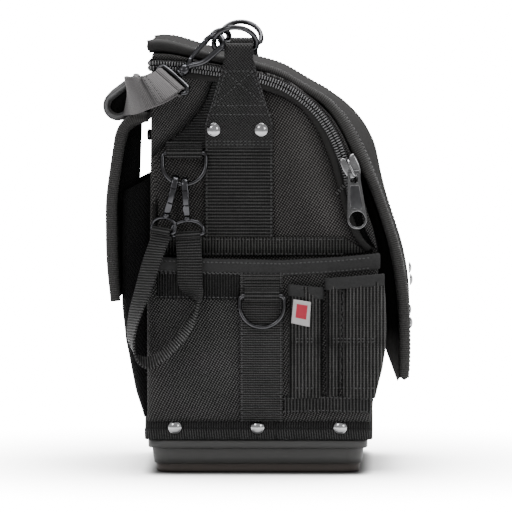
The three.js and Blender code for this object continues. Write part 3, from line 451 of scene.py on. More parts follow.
def thicken(piece, thickness):
    """Gives an open cloth its thickness, inwards from the face away from its middle."""
    mesh = piece.data
    middle = sum((v.co for v in mesh.vertices), Vector()) / len(mesh.vertices)
    if sum(f.normal.dot(f.center - middle) * f.area for f in mesh.polygons) < 0:
        mesh.flip_normals()
    solid = piece.modifiers.new("thickness", "SOLIDIFY")
    solid.thickness = thickness * MM
    solid.offset = -1
    return piece


def shaded(piece, tone):
    """Keeps a share of the cloth's colour at each point in its shade attribute: painted light and shade on
    most pieces, a plain step in tone on the base band.
    """
    layer = piece.data.attributes.new("shade", "FLOAT", "POINT")
    layer.data.foreach_set("value", [tone(*(v.co / MM)) for v in piece.data.vertices])
    return piece


def woven(name, thread, gap, cell, turn=32.0, relief=0.0007, shade=False):
    """Plain-woven cloth: rounded threads over and under, with dark gaps and uneven dye."""
    looks = Looks(name, thread, 0.78, gloss=CLOTH_GLOSS)
    place = looks.place("UV")
    split = looks.parts(looks.turned(place, turn))
    cloud = looks.noise(place, 0.03, 4.0)
    fuzz = looks.noise(place, 0.0012, 2.0)
    waver = looks.span(looks.noise(place, 0.008, 2.0), -0.3 * cell, 0.3 * cell)
    line = looks.wave(looks.math("ADD", split[0], waver), 1.2 * cell)
    line = looks.math("ADD", looks.math("MULTIPLY", line, 0.28), 0.28)
    cross = looks.wave(looks.math("ADD", split[1], waver), 1.1 * cell)
    cross = looks.math("ADD", looks.math("MULTIPLY", cross, 0.22), 0.22)
    height = looks.math("ADD", line, cross)
    share = looks.math("MULTIPLY", looks.math("POWER", height, 2.4), looks.span(cloud, 0.75, 1.9))
    share = looks.math("ADD", share, looks.span(fuzz, -0.24, 0.24))
    if shade:
        share = looks.shade_scaled(share)
    looks.colour(looks.blend(share, gap, thread))
    looks.relief(looks.math("ADD", height, looks.span(fuzz, 0.0, 0.3)), relief, 1.0)
    return looks.material


side_top = np.vstack([
    [(-80.8, 306.2)],
    beside(smooth(ZIP_PATH, 60), ZIP_HALF)[1:],
    [(76, 187.5), (83.5, 176), FRONT_TOP],
])
SIDE_COLUMNS = 56
WALL_LEVELS = 40
side_top = smooth(side_top, SIDE_COLUMNS)
body_rows = []
body_flat = []
for level in np.linspace(0, 1, WALL_LEVELS):
    near = []
    for column, share in enumerate(np.linspace(0, 1, SIDE_COLUMNS)):
        low = np.array(BACK_FOOT) * (1 - share) + np.array(FRONT_FOOT) * share
        x, z = low * (1 - level) + side_top[column] * level
        swell = FRONT_SWELL * math.sin(math.pi * level) * share**6
        ridge_x = 36 + (270 - z) * 0.29
        ridge = -RIDGE_HEIGHT * math.exp(-((x - ridge_x) / RIDGE_WIDE) ** 2) * min(1, max(0, (z - 150) / 40))
        dip = 0.8 * math.sin(0.09 * x + 1) * math.sin(0.045 * z) * math.sin(math.pi * share) + ridge
        tuck = TOP_TUCK * max(0, (level - 0.86) / 0.14) ** 2
        near.append((x + swell, -WALL_Y + dip + tuck, z))
    row = near[1:-1]
    front_x = near[-1][0]
    back_x = near[0][0]
    front_z = near[-1][2]
    back_z = near[0][2]
    flat = [(x, z) for x, y, z in row]
    for turn in np.linspace(-90, 0, CORNER_STEPS):
        angle = math.radians(turn)
        row.append((
            front_x - WALL_CORNER + WALL_CORNER * math.cos(angle),
            -WALL_Y + WALL_CORNER + WALL_CORNER * math.sin(angle),
            front_z,
        ))
        flat.append((front_x - WALL_CORNER + WALL_CORNER * (angle + math.pi / 2), front_z))
    start = flat[-1][0]
    for y in np.linspace(-END_HALF, END_HALF, END_STEPS):
        row.append((front_x, y, front_z))
        flat.append((start + y + WALL_Y - WALL_CORNER, front_z))
    half = len(row)
    start = flat[-1][0] + 6
    row += [(x, -y, z) for x, y, z in reversed(row[:half - END_STEPS])]
    flat += [(start + front_x - x, z) for x, y, z in row[half:]]
    start = flat[-1][0]
    for turn in np.linspace(90, 180, CORNER_STEPS):
        angle = math.radians(turn)
        row.append((
            back_x + WALL_CORNER + WALL_CORNER * math.cos(angle),
            WALL_Y - WALL_CORNER + WALL_CORNER * math.sin(angle),
            back_z,
        ))
        flat.append((start + WALL_CORNER * (angle - math.pi / 2), back_z))
    start = flat[-1][0]
    for y in np.linspace(END_HALF, -END_HALF, END_STEPS):
        row.append((back_x, y, back_z))
        flat.append((start + WALL_Y - WALL_CORNER - y, back_z))
    row += [(x, -y, z) for x, y, z in reversed(row[-CORNER_STEPS - END_STEPS:-END_STEPS])]
    flat += [(flat[-1][0] + 5 + i, back_z) for i in range(CORNER_STEPS)]
    body_rows.append(row)
    body_flat.append(flat + [(flat[-1][0] + 2, back_z)])
SIDE_TONE = (0.0300, 0.0290, 0.0280)
SIDE_GAP = (0.0008, 0.0008, 0.0008)
CELL = 0.0016
side_cloth = woven("body_nylon", SIDE_TONE, SIDE_GAP, CELL, shade=True)
body_flat = np.array(body_flat)
body_spots = {}
for row, flat in zip(body_rows, body_flat):
    for point, spot in zip(row, flat):
        body_spots[tuple(np.round(point, 4))] = tuple(spot)
facing_near = smooth(FACING_PATH, 80)


def body_spot(x, y, z):
    return body_spots[tuple(np.round((x, y, z), 4))]


# Painted light and shade on the side walls: a paler band along the bulge's ridge is a painted highlight, and
# the cloth is painted darker near the zip facing as painted shade.
def body_painted_light_and_shade(x, y, z):
    ridge = math.exp(-((x - 32 - (270 - z) * 0.30) / 13) ** 2) * min(1, max(0, (z - 165) / 30))
    gap = float(np.min(np.hypot(facing_near[:, 0] - x, facing_near[:, 1] - z)))
    painted_shade_by_facing = 1 - 0.62 * math.exp(-(gap / 9) ** 2)
    return (0.86 + 0.75 * ridge) * painted_shade_by_facing


body = skin("body_cloth", body_rows, ends=False, flat=body_spot)
shaded(body, body_painted_light_and_shade)
thicken(body, BODY_CLOTH)
fix(body, side_cloth, "nylon", "body_shell")

# Rear panels: a second layer of finer, darker nylon over the back of each side, its edge
# turned under along a slanting seam. Its colour is painted darker along that edge as painted shade.
SIDES = (("near", -1), ("far", 1))
REAR_FACE = 98.5
REAR_INNER = 97.0
REAR_STEPS = 30
REAR_BACK_X = -80.6
REAR_BACK_TOP = 306.5
REAR_BACK_LOW = 240.0
REAR_EDGE = [
    (-32.4, 304), (-35.4, 296), (-38.9, 286), (-43.4, 277.6), (-50.2, 269.4), (-58, 261.5), (-66.8, 253.7),
    (-74, 246.8), (-80.4, 241),
]
REAR_TONE = (0.0250, 0.0244, 0.0239)
REAR_GAP = (0.0008, 0.0008, 0.0008)
rear_cloth = woven("rear_nylon", REAR_TONE, REAR_GAP, 0.0014, 35.0, shade=True)
rear_front = smooth(REAR_EDGE, REAR_STEPS)


# Painted shade: the panel is darker within a few millimetres of its slanting edge and paler away from it.
def rear_painted_shade(x, y, z):
    gap = float(np.min(np.hypot(rear_front[:, 0] - x, rear_front[:, 1] - z)))
    return 1.3 - 1.1 * math.exp(-(gap / 5) ** 2)


for side, sign in SIDES:
    rear_rows = []
    for i, (x, z) in enumerate(rear_front):
        back_z = REAR_BACK_TOP + (REAR_BACK_LOW - REAR_BACK_TOP) * i / (REAR_STEPS - 1)
        row = []
        for share in np.linspace(0, 1, 16):
            raised = REAR_FACE - 1.1 * share**3
            row.append((x + (REAR_BACK_X - x) * share, sign * raised, z + (back_z - z) * share))
        rear_rows.append(row)
    rear_rows = np.array(rear_rows)
    behind = rear_rows.copy()
    behind[:, :, 1] = sign * REAR_INNER
    wrapped = np.concatenate([rear_rows, behind[:, ::-1]], axis=1)
    panel = skin(f"rear_panel_{side}", wrapped, flat=lambda x, y, z: (x, z))
    shaded(panel, rear_painted_shade)
    fix(panel, rear_cloth, "nylon")

# Base band: a wide ribbed tape sewn round the foot of the walls in two runs, the upper one
# darker, with its ends folded under at a joint on each side.
BAND_ROWS = [
    (25.4, 1.0), (25.8, 1.9), (33.4, 2.1), (34.0, 1.5), (34.6, 1.7), (42.0, 1.6), (42.8, 0.9), (43, 0.2),
    (43, -0.8), (25.4, -0.8),
]
BAND_SHIFT = 0.7
BAND_HALF = (85, 98)
BAND_CORNER = 5
BAND_STEP = 33.8
WELD_REACH = 1e-6
BAND_TONE = (0.0215, 0.0215, 0.0215)
BAND_GAP = (0.0010, 0.0010, 0.0010)


def ribbed(name, thread, gap, pitch, along="V", relief=0.0004, cloudy=0.45, plain=None, shade=False):
    """Ribbed webbing: cords side by side under a tight face yarn. It runs out into a close
    weave where plain says so: an axis, its start and end, and the weave's tone."""
    looks = Looks(name, thread, 0.7, gloss=CLOTH_GLOSS)
    place = looks.place("UV")
    split = looks.parts(place)
    across, length = (split[0], split[1]) if along == "V" else (split[1], split[0])
    rib = looks.span(looks.wave(length, pitch), 0.0, 1.0, -1.0)
    rib = looks.math("POWER", rib, 2.0)
    yarn = looks.wave(across, 0.0013)
    cloud = looks.noise(place, 0.018, 4.0)
    fuzz = looks.noise(place, 0.0012, 2.0)
    height = looks.math("ADD", rib, looks.math("MULTIPLY", yarn, 0.16))
    if plain:
        axis, start, end, level = plain
        spread = looks.span(looks.parts(looks.place("Object"))[axis], 0.0, 1.0, start, end)
        close = looks.math("MULTIPLY", looks.wave(length, 0.0024), looks.wave(across, 0.0024))
        close = looks.math("ADD", looks.math("MULTIPLY", close, level), level)
        mix = looks.node("ShaderNodeMix", data_type="FLOAT")
        looks.feed(mix.inputs["Factor"], spread)
        looks.feed(mix.inputs["A"], height)
        looks.feed(mix.inputs["B"], close)
        height = mix.outputs["Result"]
    share = looks.math("MULTIPLY", height, looks.span(cloud, 1 - cloudy, 1 + cloudy))
    share = looks.math("ADD", share, looks.span(fuzz, -0.3, 0.3))
    if shade:
        share = looks.shade_scaled(share)
    looks.colour(looks.blend(share, gap, thread))
    looks.relief(looks.math("ADD", height, looks.span(fuzz, 0.0, 0.25)), relief, 0.9)
    return looks.material


def band_ring(out, z):
    return rounded_ring(BAND_HALF[0] + out, BAND_HALF[1] + out, BAND_CORNER + out, z, 8, BAND_SHIFT)


def weld(piece):
    """Joins a piece's first row to its last where they meet."""
    mended(piece.data, WELD_REACH)
    piece.data.shade_smooth()
    return piece


band_rows = [band_ring(out, z) for z, out in BAND_ROWS]
band = weld(skin("base_band_tape", band_rows + band_rows[:1], ends=False))
shaded(band, lambda x, y, z: 1.0 if z < BAND_STEP else 0.5)
fix(band, ribbed("band_tape", BAND_TONE, BAND_GAP, 0.0019, "U", 0.0006, shade=True), "webbing", "base_band")

# Each joint is a near-black strip, painted shade standing in for the shadow in the fold of the tape's ends.
JOINT_SECTION = [(13.7, 99), (14.7, 99), (14.7, 100.3), (13.7, 100.3)]
JOINT_HEIGHTS = (25.8, 42.2)
joint_painted_shade_look = Looks("band_joint_painted_shade", BAND_GAP, 0.8).material
for side, sign in SIDES:
    joint = [[(x, sign * y, z) for x, y in JOINT_SECTION] for z in JOINT_HEIGHTS]
    fix(skin(f"base_band_joint_{side}", joint), joint_painted_shade_look, "webbing")

# Rivets: domed caps of nickelled steel with a rolled rim, six in the base band, four in
# the side straps and four smaller ones in the front flap's edges.
RIVET_CAP = [
    (0, 2.75), (1.7, 2.6), (3.2, 2.15), (4.3, 1.35), (4.75, 0.95), (5.2, 0.75), (5.3, 0.35), (5.2, 0),
]
RIVET_SIDES = 20
RIVET_SPOTS = []
for sign in (-1, 1):
    for x in (-63, 0, 63):
        RIVET_SPOTS.append(((x, sign * 100.3, 34.9), (0, sign, 0), 1.0))
    for x in (-33.4, 2.8):
        RIVET_SPOTS.append(((x, sign * 100.2, 261.8), (0, sign, 0), 1.0))
    for z in (147, 114):
        RIVET_SPOTS.append(((115.8, sign * 82, z), (1, 0, 0), 0.87))
RIVET_ROWS = [
    ("base", ("back", "middle", "front")), ("strap", ("back", "front")), ("flap", ("upper", "lower")),
]
RIVET_NODES = []
for rivet_row, row_spots in RIVET_ROWS:
    for spot in row_spots:
        RIVET_NODES += [f"{rivet_row}_rivet_{spot}_{side}" for side, sign in SIDES]


def metal(name, tone, roughness, worn, grain=0.0012):
    """Cast or drawn metal, plated, with faint wear."""
    looks = Looks(name, tone, roughness, 1.0)
    looks.shader.inputs["Specular Tint"].default_value = (*worn, 1)
    place = looks.place("Object")
    cloud = looks.noise(place, 0.006, 4.0)
    looks.colour(looks.blend(cloud, tone, worn))
    looks.rough(looks.span(cloud, roughness * 0.8, roughness * 1.3))
    looks.relief(looks.noise(place, grain), 0.00006, 0.35)
    return looks.material


def baked(piece):
    """A piece as its modifiers leave it, as a plain mesh."""
    view = bpy.context.evaluated_depsgraph_get()
    return bpy.data.meshes.new_from_object(piece.evaluated_get(view))


class Tree:
    """A geometry node group, built a node at a time, with named inputs."""

    def __init__(self, name, inputs):
        self.group = bpy.data.node_groups.new(name, "GeometryNodeTree")
        face = self.group.interface
        face.new_socket("Geometry", in_out="INPUT", socket_type="NodeSocketGeometry")
        self.sockets = {}
        for label, kind in inputs:
            self.sockets[label] = face.new_socket(label, in_out="INPUT", socket_type=kind).identifier
        face.new_socket("Geometry", in_out="OUTPUT", socket_type="NodeSocketGeometry")
        self.start = self.group.nodes.new("NodeGroupInput")
        self.end = self.group.nodes.new("NodeGroupOutput")

    def node(self, kind, **settings):
        made = self.group.nodes.new(kind)
        for key, value in settings.items():
            setattr(made, key, value)
        return made

    def join(self, source, target):
        self.group.links.new(source, target)

    def kept(self, label, kind):
        made = self.node("GeometryNodeInputNamedAttribute", data_type=kind)
        made.inputs["Name"].default_value = label
        return made.outputs["Attribute"]

    def repeat(self, points, form, turn, size):
        """Sets a form on points, makes the copies real and gives them their finish."""
        info = self.node("GeometryNodeObjectInfo")
        copies = self.node("GeometryNodeInstanceOnPoints")
        real = self.node("GeometryNodeRealizeInstances")
        paint = self.node("GeometryNodeSetMaterial")
        self.join(form, info.inputs["Object"])
        self.join(points, copies.inputs["Points"])
        self.join(info.outputs["Geometry"], copies.inputs["Instance"])
        self.join(turn, copies.inputs["Rotation"])
        self.join(size, copies.inputs["Scale"])
        self.join(copies.outputs["Instances"], real.inputs["Geometry"])
        self.join(real.outputs["Geometry"], paint.inputs["Geometry"])
        self.join(self.start.outputs["Finish"], paint.inputs["Material"])
        self.join(paint.outputs["Geometry"], self.end.inputs["Geometry"])

    def run(self, piece, values):
        """Runs the group on a piece and keeps the result as a plain mesh of the same name."""
        step = piece.modifiers.new("repeat", "NODES")
        step.node_group = self.group
        for label, value in values.items():
            step[self.sockets[label]] = value
        made = baked(piece)
        piece.modifiers.clear()
        piece.data = made
        made.shade_smooth()
        return piece


def points_piece(name, places, **vectors):
    """Loose points in millimetres with a vector or number kept on each."""
    mesh = bpy.data.meshes.new(name)
    mesh.from_pydata((np.array(places, float) * MM).tolist(), [], [])
    for label, values in vectors.items():
        values = np.array(values, float)
        kind = "FLOAT" if values.ndim == 1 else "FLOAT_VECTOR"
        layer = mesh.attributes.new(label, kind, "POINT")
        layer.data.foreach_set("value" if kind == "FLOAT" else "vector", values.ravel())
    return placed(name, mesh)


def lathe(name, profile, sides):
    """A turned form round Z from (radius, height) pairs, closed where the radius is nought."""
    rows = []
    for radius, height in profile:
        radius = max(radius, 0.02)
        turns = np.linspace(0, 2 * math.pi, sides, endpoint=False)
        rows.append([(radius * math.cos(t), radius * math.sin(t), height) for t in turns])
    return skin(name, rows)


rivet_cap = lathe("rivet_cap", RIVET_CAP, RIVET_SIDES)
nickel = metal("rivet_nickel", (0.10, 0.10, 0.102), 0.14, (0.19, 0.19, 0.193))
rivet_tree = Tree("rivet_set", [("Cap", "NodeSocketObject"), ("Finish", "NodeSocketMaterial")])
rivet_turn = rivet_tree.node("FunctionNodeAlignRotationToVector", axis="Z")
rivet_tree.join(rivet_tree.kept("out", "FLOAT_VECTOR"), rivet_turn.inputs["Vector"])
rivet_tree.repeat(
    rivet_tree.start.outputs["Geometry"],
    rivet_tree.start.outputs["Cap"],
    rivet_turn.outputs["Rotation"],
    rivet_tree.kept("size", "FLOAT"),
)
rivets = points_piece(
    "rivets",
    [spot for spot, out, size in RIVET_SPOTS],
    out=[out for spot, out, size in RIVET_SPOTS],
    size=[size for spot, out, size in RIVET_SPOTS],
)
rivet_tree.run(rivets, {"Cap": rivet_cap, "Finish": nickel})
bpy.data.objects.remove(rivet_cap)
fix(rivets, nickel, "nickel", *RIVET_NODES)

# Lid: the cloth above the zip, a panel of the finer nylon over the roof with short sides
# down to the chain. It is sewn to the upper half of the zip's tape, and open below.
ROOF_LINE = [
    (-80, 319.6), (-66, 319), (-50, 315.6), (-32, 311.6), (-10, 307.8), (8, 303.2), (18, 299.6), (27.6, 295),
    (38.4, 288), (48.2, 279.9), (57, 270.4), (63.8, 259.2), (69.3, 247.3), (73.4, 235.8), (77, 222.8),
    (80, 209.8), (84, 197.8), (88.5, 183.8), (91, 171),
]
LID_STEPS = 64
LID_CLOTH = 1.6
LID_SECTION = [(0, 97.6), (0.5, 97.7), (0.85, 97.4), (0.96, 96.4), (1, 94), (1, 60), (1, 20)]
lid_edge = np.vstack([beside(smooth(ZIP_PATH, 40), -ZIP_HALF), [(81, 189), (86, 178), (90.4, 171)]])
lid_edge = smooth(lid_edge, LID_STEPS)
lid_roof = smooth(ROOF_LINE, LID_STEPS)
lid_rows = []
for i in range(-1, LID_STEPS):
    edge = lid_edge[max(i, 0)]
    roof = lid_roof[i] if i >= 0 else lid_edge[0] + np.array([0.2, 0.2])
    row = []
    for share, y in LID_SECTION:
        x, z = edge + (roof - edge) * share
        row.append((x, -y, z))
    row += [(x, -y, z) for x, y, z in reversed(row)]
    lid_rows.append(row)
lid = skin("lid_cloth", lid_rows, closed=False, ends=False, flat=lambda x, y, z: (x, y + z))
thicken(lid, LID_CLOTH)
fix(lid, woven("lid_nylon", REAR_TONE, REAR_GAP, 0.0014, 35.0), "nylon", "lid")

# Zip: a wide tape round the side, back and far side, with two rows of moulded teeth that
# close between each other, and a row of sewing along each edge of the tape.
ZIP_FACE = 98.2
ZIP_BACK_X = -81.9
ZIP_CORNER = 4


def bead(name, power, long_steps=7, round_steps=10):
    """A rounded bead of unit size along X: a ball for power 1, boxier below."""

    def bent(value):
        return math.copysign(abs(value) ** power, value)

    rows = []
    for turn in np.linspace(-86, 86, long_steps):
        tilt = math.radians(turn)
        row = []
        for spin in np.linspace(0, 2 * math.pi, round_steps, endpoint=False):
            row.append((
                500 * bent(math.sin(tilt)),
                500 * bent(math.cos(tilt)) * bent(math.cos(spin)),
                500 * bent(math.cos(tilt)) * bent(math.sin(spin)),
            ))
        rows.append(row)
    return skin(name, rows)


row_tree = Tree("row_of_beads", [
    ("Bead", "NodeSocketObject"), ("Pitch", "NodeSocketFloat"), ("Size", "NodeSocketVector"),
    ("Finish", "NodeSocketMaterial"),
])
row_curve = row_tree.node("GeometryNodeMeshToCurve")
row_even = row_tree.node("GeometryNodeResampleCurve", mode="LENGTH")
row_ahead = row_tree.node("GeometryNodeInputTangent")
row_turn = row_tree.node("FunctionNodeAxesToRotation", primary_axis="X", secondary_axis="Z")
row_tree.join(row_tree.start.outputs["Geometry"], row_curve.inputs["Mesh"])
row_tree.join(row_curve.outputs["Curve"], row_even.inputs["Curve"])
row_tree.join(row_tree.start.outputs["Pitch"], row_even.inputs["Length"])
row_tree.join(row_ahead.outputs["Tangent"], row_turn.inputs[0])
row_tree.join(row_tree.kept("out", "FLOAT_VECTOR"), row_turn.inputs[1])
row_tree.repeat(
    row_even.outputs["Curve"],
    row_tree.start.outputs["Bead"],
    row_turn.outputs["Rotation"],
    row_tree.start.outputs["Size"],
)


def beads_along(name, lines, form, look, pitch, size):
    """Beads at an even pitch along lines of (points, outward directions), in millimetres."""
    places = []
    outs = []
    edges = []
    for points, out in lines:
        points = np.asarray(points, float)
        start = len(places)
        places += points.tolist()
        outs += np.broadcast_to(np.asarray(out, float), points.shape).tolist()
        edges += [(start + i, start + i + 1) for i in range(len(points) - 1)]
    mesh = bpy.data.meshes.new(name)
    mesh.from_pydata((np.array(places) * MM).tolist(), edges, [])
    layer = mesh.attributes.new("out", "FLOAT_VECTOR", "POINT")
    layer.data.foreach_set("vector", np.array(outs).ravel())
    piece = placed(name, mesh)
    scale = Vector(size) * MM
    return row_tree.run(piece, {"Bead": form, "Pitch": pitch * MM, "Size": scale, "Finish": look})


def along_path(points, out, sections):
    """Rows of a band: (across, outward) sections carried along a path."""
    points = np.asarray(points, float)
    out = np.broadcast_to(np.asarray(out, float), points.shape)
    ahead = np.gradient(points, axis=0)
    across = np.cross(ahead, out)
    across /= np.linalg.norm(across, axis=1)[:, None]
    rows = []
    for point, side, up in zip(points, across, out):
        rows.append([point + side * a + up * b for a, b in sections])
    return rows


zip_side = smooth(ZIP_PATH, 150)[::-1]
zip_side = zip_side[zip_side[:, 0] > ZIP_BACK_X + ZIP_CORNER]
zip_points = [(x, -ZIP_FACE, z) for x, z in zip_side]
zip_out = [(0, -1, 0)] * len(zip_points)
ZIP_BACK_Z = float(zip_side[-1, 1])
for turn in np.linspace(-90, -180, 7):
    angle = math.radians(turn)
    corner_y = -ZIP_FACE + ZIP_CORNER + ZIP_CORNER * math.sin(angle)
    zip_points.append((ZIP_BACK_X + ZIP_CORNER + ZIP_CORNER * math.cos(angle), corner_y, ZIP_BACK_Z))
    zip_out.append((math.cos(angle), math.sin(angle), 0))
for y in np.linspace(-90, 0, 20):
    zip_points.append((ZIP_BACK_X, y, ZIP_BACK_Z))
    zip_out.append((-1, 0, 0))
zip_points += [(x, -y, z) for x, y, z in reversed(zip_points[:-1])]
zip_out += [(x, -y, z) for x, y, z in reversed(zip_out[:-1])]
zip_points = np.array(zip_points)
zip_out = np.array(zip_out)
ZIP_SECTION = [
    (-4.3, -1), (-4.3, 0.3), (-3.9, 0.55), (-1.2, 0.7), (1.2, 0.7), (3.9, 0.55), (4.3, 0.3), (4.3, -1),
]
zip_tape = skin("zip_tape", along_path(zip_points, zip_out, ZIP_SECTION))
tape_cloth = ribbed("zip_tape_cloth", (0.0040, 0.0040, 0.0040), (0.0015, 0.0015, 0.0015), 0.0012, "V", 0.0002)
fix(zip_tape, tape_cloth, "tape", "zip_chain")


def moved(points, out, side, lift):
    """A path moved across its direction and outwards."""
    return np.array(along_path(points, out, [(side, lift)]))[:, 0]


tooth = bead("tooth_form", 0.5)
thread_form = bead("thread_form", 0.8, 5, 6)
tooth_look = Looks("zip_tooth", (0.052, 0.052, 0.053), 0.3)
tooth_look.relief(tooth_look.noise(tooth_look.place("Object"), 0.0008), 0.00005, 0.4)
TOOTH_PITCH = 2.1
ZIP_TAIL = [(68.4, -100.4, 222.5), (66, -100.4, 219.6), (63.2, -100.2, 216.6), (60.6, -100.0, 213.6)]
TOOTH_SIZE = (1.0, 3.0, 1.9)
TOOTH_ROW = 1.75
TOOTH_LIFT = 1.0
ZIP_SEAM = 3.5
later_row = moved(zip_points, zip_out, TOOTH_ROW, TOOTH_LIFT)
later_ahead = later_row[1] - later_row[0]
later_start = later_row[:1] + later_ahead * TOOTH_PITCH / 2 / np.linalg.norm(later_ahead)
tooth_lines = [
    (moved(zip_points, zip_out, -TOOTH_ROW, TOOTH_LIFT), zip_out),
    (np.vstack([later_start, later_row[1:]]), zip_out),
]
teeth = beads_along("zip_teeth", tooth_lines, tooth, tooth_look.material, TOOTH_PITCH, TOOTH_SIZE)
tail_look = Looks("zip_tail_tooth", (0.012, 0.012, 0.012), 0.3).material
tail_line = [(smooth(ZIP_TAIL, 12), (0, -1, 0))]
tail = beads_along("zip_tail_teeth", tail_line, tooth, tail_look, TOOTH_PITCH, TOOTH_SIZE)
fix(tail, tail_look, "tape")
bpy.data.objects.remove(tooth)
fix(teeth, tooth_look.material, "tape")
thread_look = Looks("sewing_thread", (0.0130, 0.0130, 0.0132), 0.6)
thread_look.relief(thread_look.noise(thread_look.place("Object"), 0.0005), 0.00008, 0.6)
thread = thread_look.material
zip_seams = [(moved(zip_points, zip_out, side, 0.6), zip_out) for side in (-ZIP_SEAM, ZIP_SEAM)]
zip_sewing = beads_along("zip_sewing", zip_seams, thread_form, thread, 1.9, (1.1, 1.2, 0.8))
fix(zip_sewing, thread, "tape")

# Zip facing: a smooth rolled edge of cloth sewn along the lower side of the zip on both
# sides, from the strap down to the front corner, and a dust flap sewn behind the open end of
# the zip, in near-black cloth that is painted shade.
FACING_FACE = 97.6
FACING_SECTION = [
    (2.4, -0.6), (2.4, 0.5), (2.0, 1.3), (1.2, 1.8), (0, 2.1), (-1.4, 2.0), (-2.4, 1.5), (-2.8, 0.9),
    (-2.2, 0.4), (-1.4, 0.3), (-1.4, -0.6),
]
facing_look = Looks("zip_facing_cloth", (0.0056, 0.0055, 0.0054), 0.85, gloss=CLOTH_GLOSS)
facing_place = facing_look.place("Object")
facing_look.relief(facing_look.noise(facing_place, 0.0014), 0.0002, 0.5)
facing_line = smooth(FACING_PATH, 90)
for side, sign in SIDES:
    points = [(x, sign * FACING_FACE, z) for x, z in facing_line]
    section = FACING_SECTION if sign < 0 else [(-a, b) for a, b in FACING_SECTION]
    facing = skin(f"zip_facing_{side}", along_path(points, (0, sign, 0), section))
    fix(facing, facing_look.material, "tape")


def plate(name, outline, near, far, edge=0.5):
    """A flat panel of an (x, z) outline between two depths, its edges rounded."""
    outline = np.asarray(outline, float)
    inward = outline.mean(axis=0) - outline
    inward /= np.linalg.norm(inward, axis=1)[:, None]
    step = math.copysign(edge, far - near)
    rows = []
    for y, drawn in ((near, edge), (near + step, 0), (far - step, 0), (far, edge)):
        rows.append([(x, y, z) for x, z in outline + inward * drawn])
    return skin(name, rows, flat=lambda x, y, z: (x, z))


DUST_DEPTH = (94.8, 93.2)
DUST_FLAP = [(64, 216), (68, 196), (73, 172), (92, 166), (91, 176), (85, 192), (79, 212), (74, 216)]
# Near-black cloth used as painted shade where the pouch lies deep in shadow: behind the zip's end, in the
# back flap's returns and inside the grip's fold.
shade_black_cloth = woven("painted_shade_lining", (0.0007, 0.0007, 0.0007), (0.0006, 0.0006, 0.0006), 0.001)
for side, sign in SIDES:
    dust_flap = plate(f"zip_dust_flap_{side}", DUST_FLAP, *(sign * depth for depth in DUST_DEPTH))
    fix(dust_flap, shade_black_cloth, "nylon")

# Cover flap: a padded panel of smooth nylon that lies on the lid, thick at the back, and
# hangs down the front. Each long edge is bound in ribbed webbing, and a plain return of the
# same nylon closes each side of the part that hangs; its colour is painted near black above
# its foot as painted shade.
COVER_ROWS = [
    (-82.5, 320, 8.5, 0.4), (-76, 321, 8, 1), (-66, 319.8, 7.8, 0.2), (-50, 316.4, 6.6, -1.0),
    (-32, 312.4, 5.7, -1.4), (-10, 308.6, 5.3, -1.0), (8, 304, 5.3, -0.8),
    (18, 300, 5.2, -0.8), (27.9, 294.6, 4.9, -1.0),
    (38.9, 287.6, 5.3, -0.6), (49, 281, 5.5, 1.9), (57.5, 271, 5.7, 6.2), (64.4, 259.7, 6, 9.0),
    (70, 247.9, 6.5, 9.8), (75.6, 236.6, 6.5, 8.8), (86.2, 216, 5.6, 3.2), (95, 192, 5.6, 0.8),
    (102, 167, 6, 1.8), (105.8, 142, 7, 1.6), (107.5, 120, 7, 0.6), (108, 95, 7, 0.4),
    (107.6, 72.5, 6.6, 0.3),
]
COVER_HALF = 94
COVER_STEPS = 120
BINDING_WIDE = 9.5
SEAM_INSET = 7.6
SEAM_LIFT = 1.35
SEAM_STEPS = slice(4, 118)


class Pad:
    """A padded panel along a curve of (x, z, edge thickness, crown), across the pouch."""

    def __init__(self, rows, steps, half, sunk=0.0):
        self.line = smooth(rows, steps)
        self.steps = steps
        self.half = half
        ahead = np.gradient(self.line[:, :2], axis=0)
        self.ahead = ahead / np.linalg.norm(ahead, axis=1)[:, None]
        self.up = np.stack([-self.ahead[:, 1], self.ahead[:, 0]], axis=1)
        self.line[:, :2] -= self.up * self.line[:, 2:3] * sunk

    def point(self, i, y, height, forward=0.0):
        x, z = self.line[i, :2] + self.up[i] * height + self.ahead[i] * forward
        return (x, y, z)

    def top(self, i, y):
        edge, crown = self.line[i, 2:]
        return edge + crown * (1 - abs(y / self.half) ** 3)

    def ring(self, i, slim=1.0, forward=0.0):
        middle = self.line[i, 2] / 2
        flat = self.half - middle
        ring = []
        for y in np.linspace(-flat, flat, 41):
            ring.append(self.point(i, y, middle + (self.top(i, y) - middle) * slim, forward))
        for turn in (55, 20, -20, -55):
            angle = math.radians(turn)
            height = middle + middle * math.sin(angle) * slim
            ring.append(self.point(i, flat + middle * math.cos(angle), height, forward))
        for y in np.linspace(flat, -flat, 21):
            ring.append(self.point(i, y, middle * (1 - slim), forward))
        for turn in (-55, -20, 20, 55):
            angle = math.radians(turn)
            height = middle + middle * math.sin(angle) * slim
            ring.append(self.point(i, -flat - middle * math.cos(angle), height, forward))
        return ring

    def piece(self, name):
        last = self.steps - 1
        rows = [self.ring(0, 0.35, -2.6), self.ring(0, 0.75, -1.8)]
        rows += [self.ring(i) for i in range(self.steps)]
        rows += [self.ring(last, 0.75, 1.8), self.ring(last, 0.35, 2.6)]
        return skin(name, rows)

    def binding(self, name, sign, wide):
        """The webbing folded round one long edge."""
        rows = []
        half = self.half
        for i in range(self.steps):
            edge = self.line[i, 2]
            inner = self.top(i, half - wide)
            middle = self.top(i, half - wide * 0.6)
            outline = [
                (half - 7, 0.4), (half - 3.5, -0.2), (half - 1, 0.2), (half + 0.6, edge * 0.25),
                (half + 1.1, edge * 0.55), (half + 0.4, edge * 0.9), (half - 1.8, edge + 0.9),
                (half - wide * 0.6, middle + 1.2), (half - wide, inner + 1.0),
                (half - wide - 0.6, inner - 0.4), (half - 7, edge * 0.6),
            ]
            rows.append([self.point(i, sign * y, height) for y, height in outline])
        return skin(name, rows)


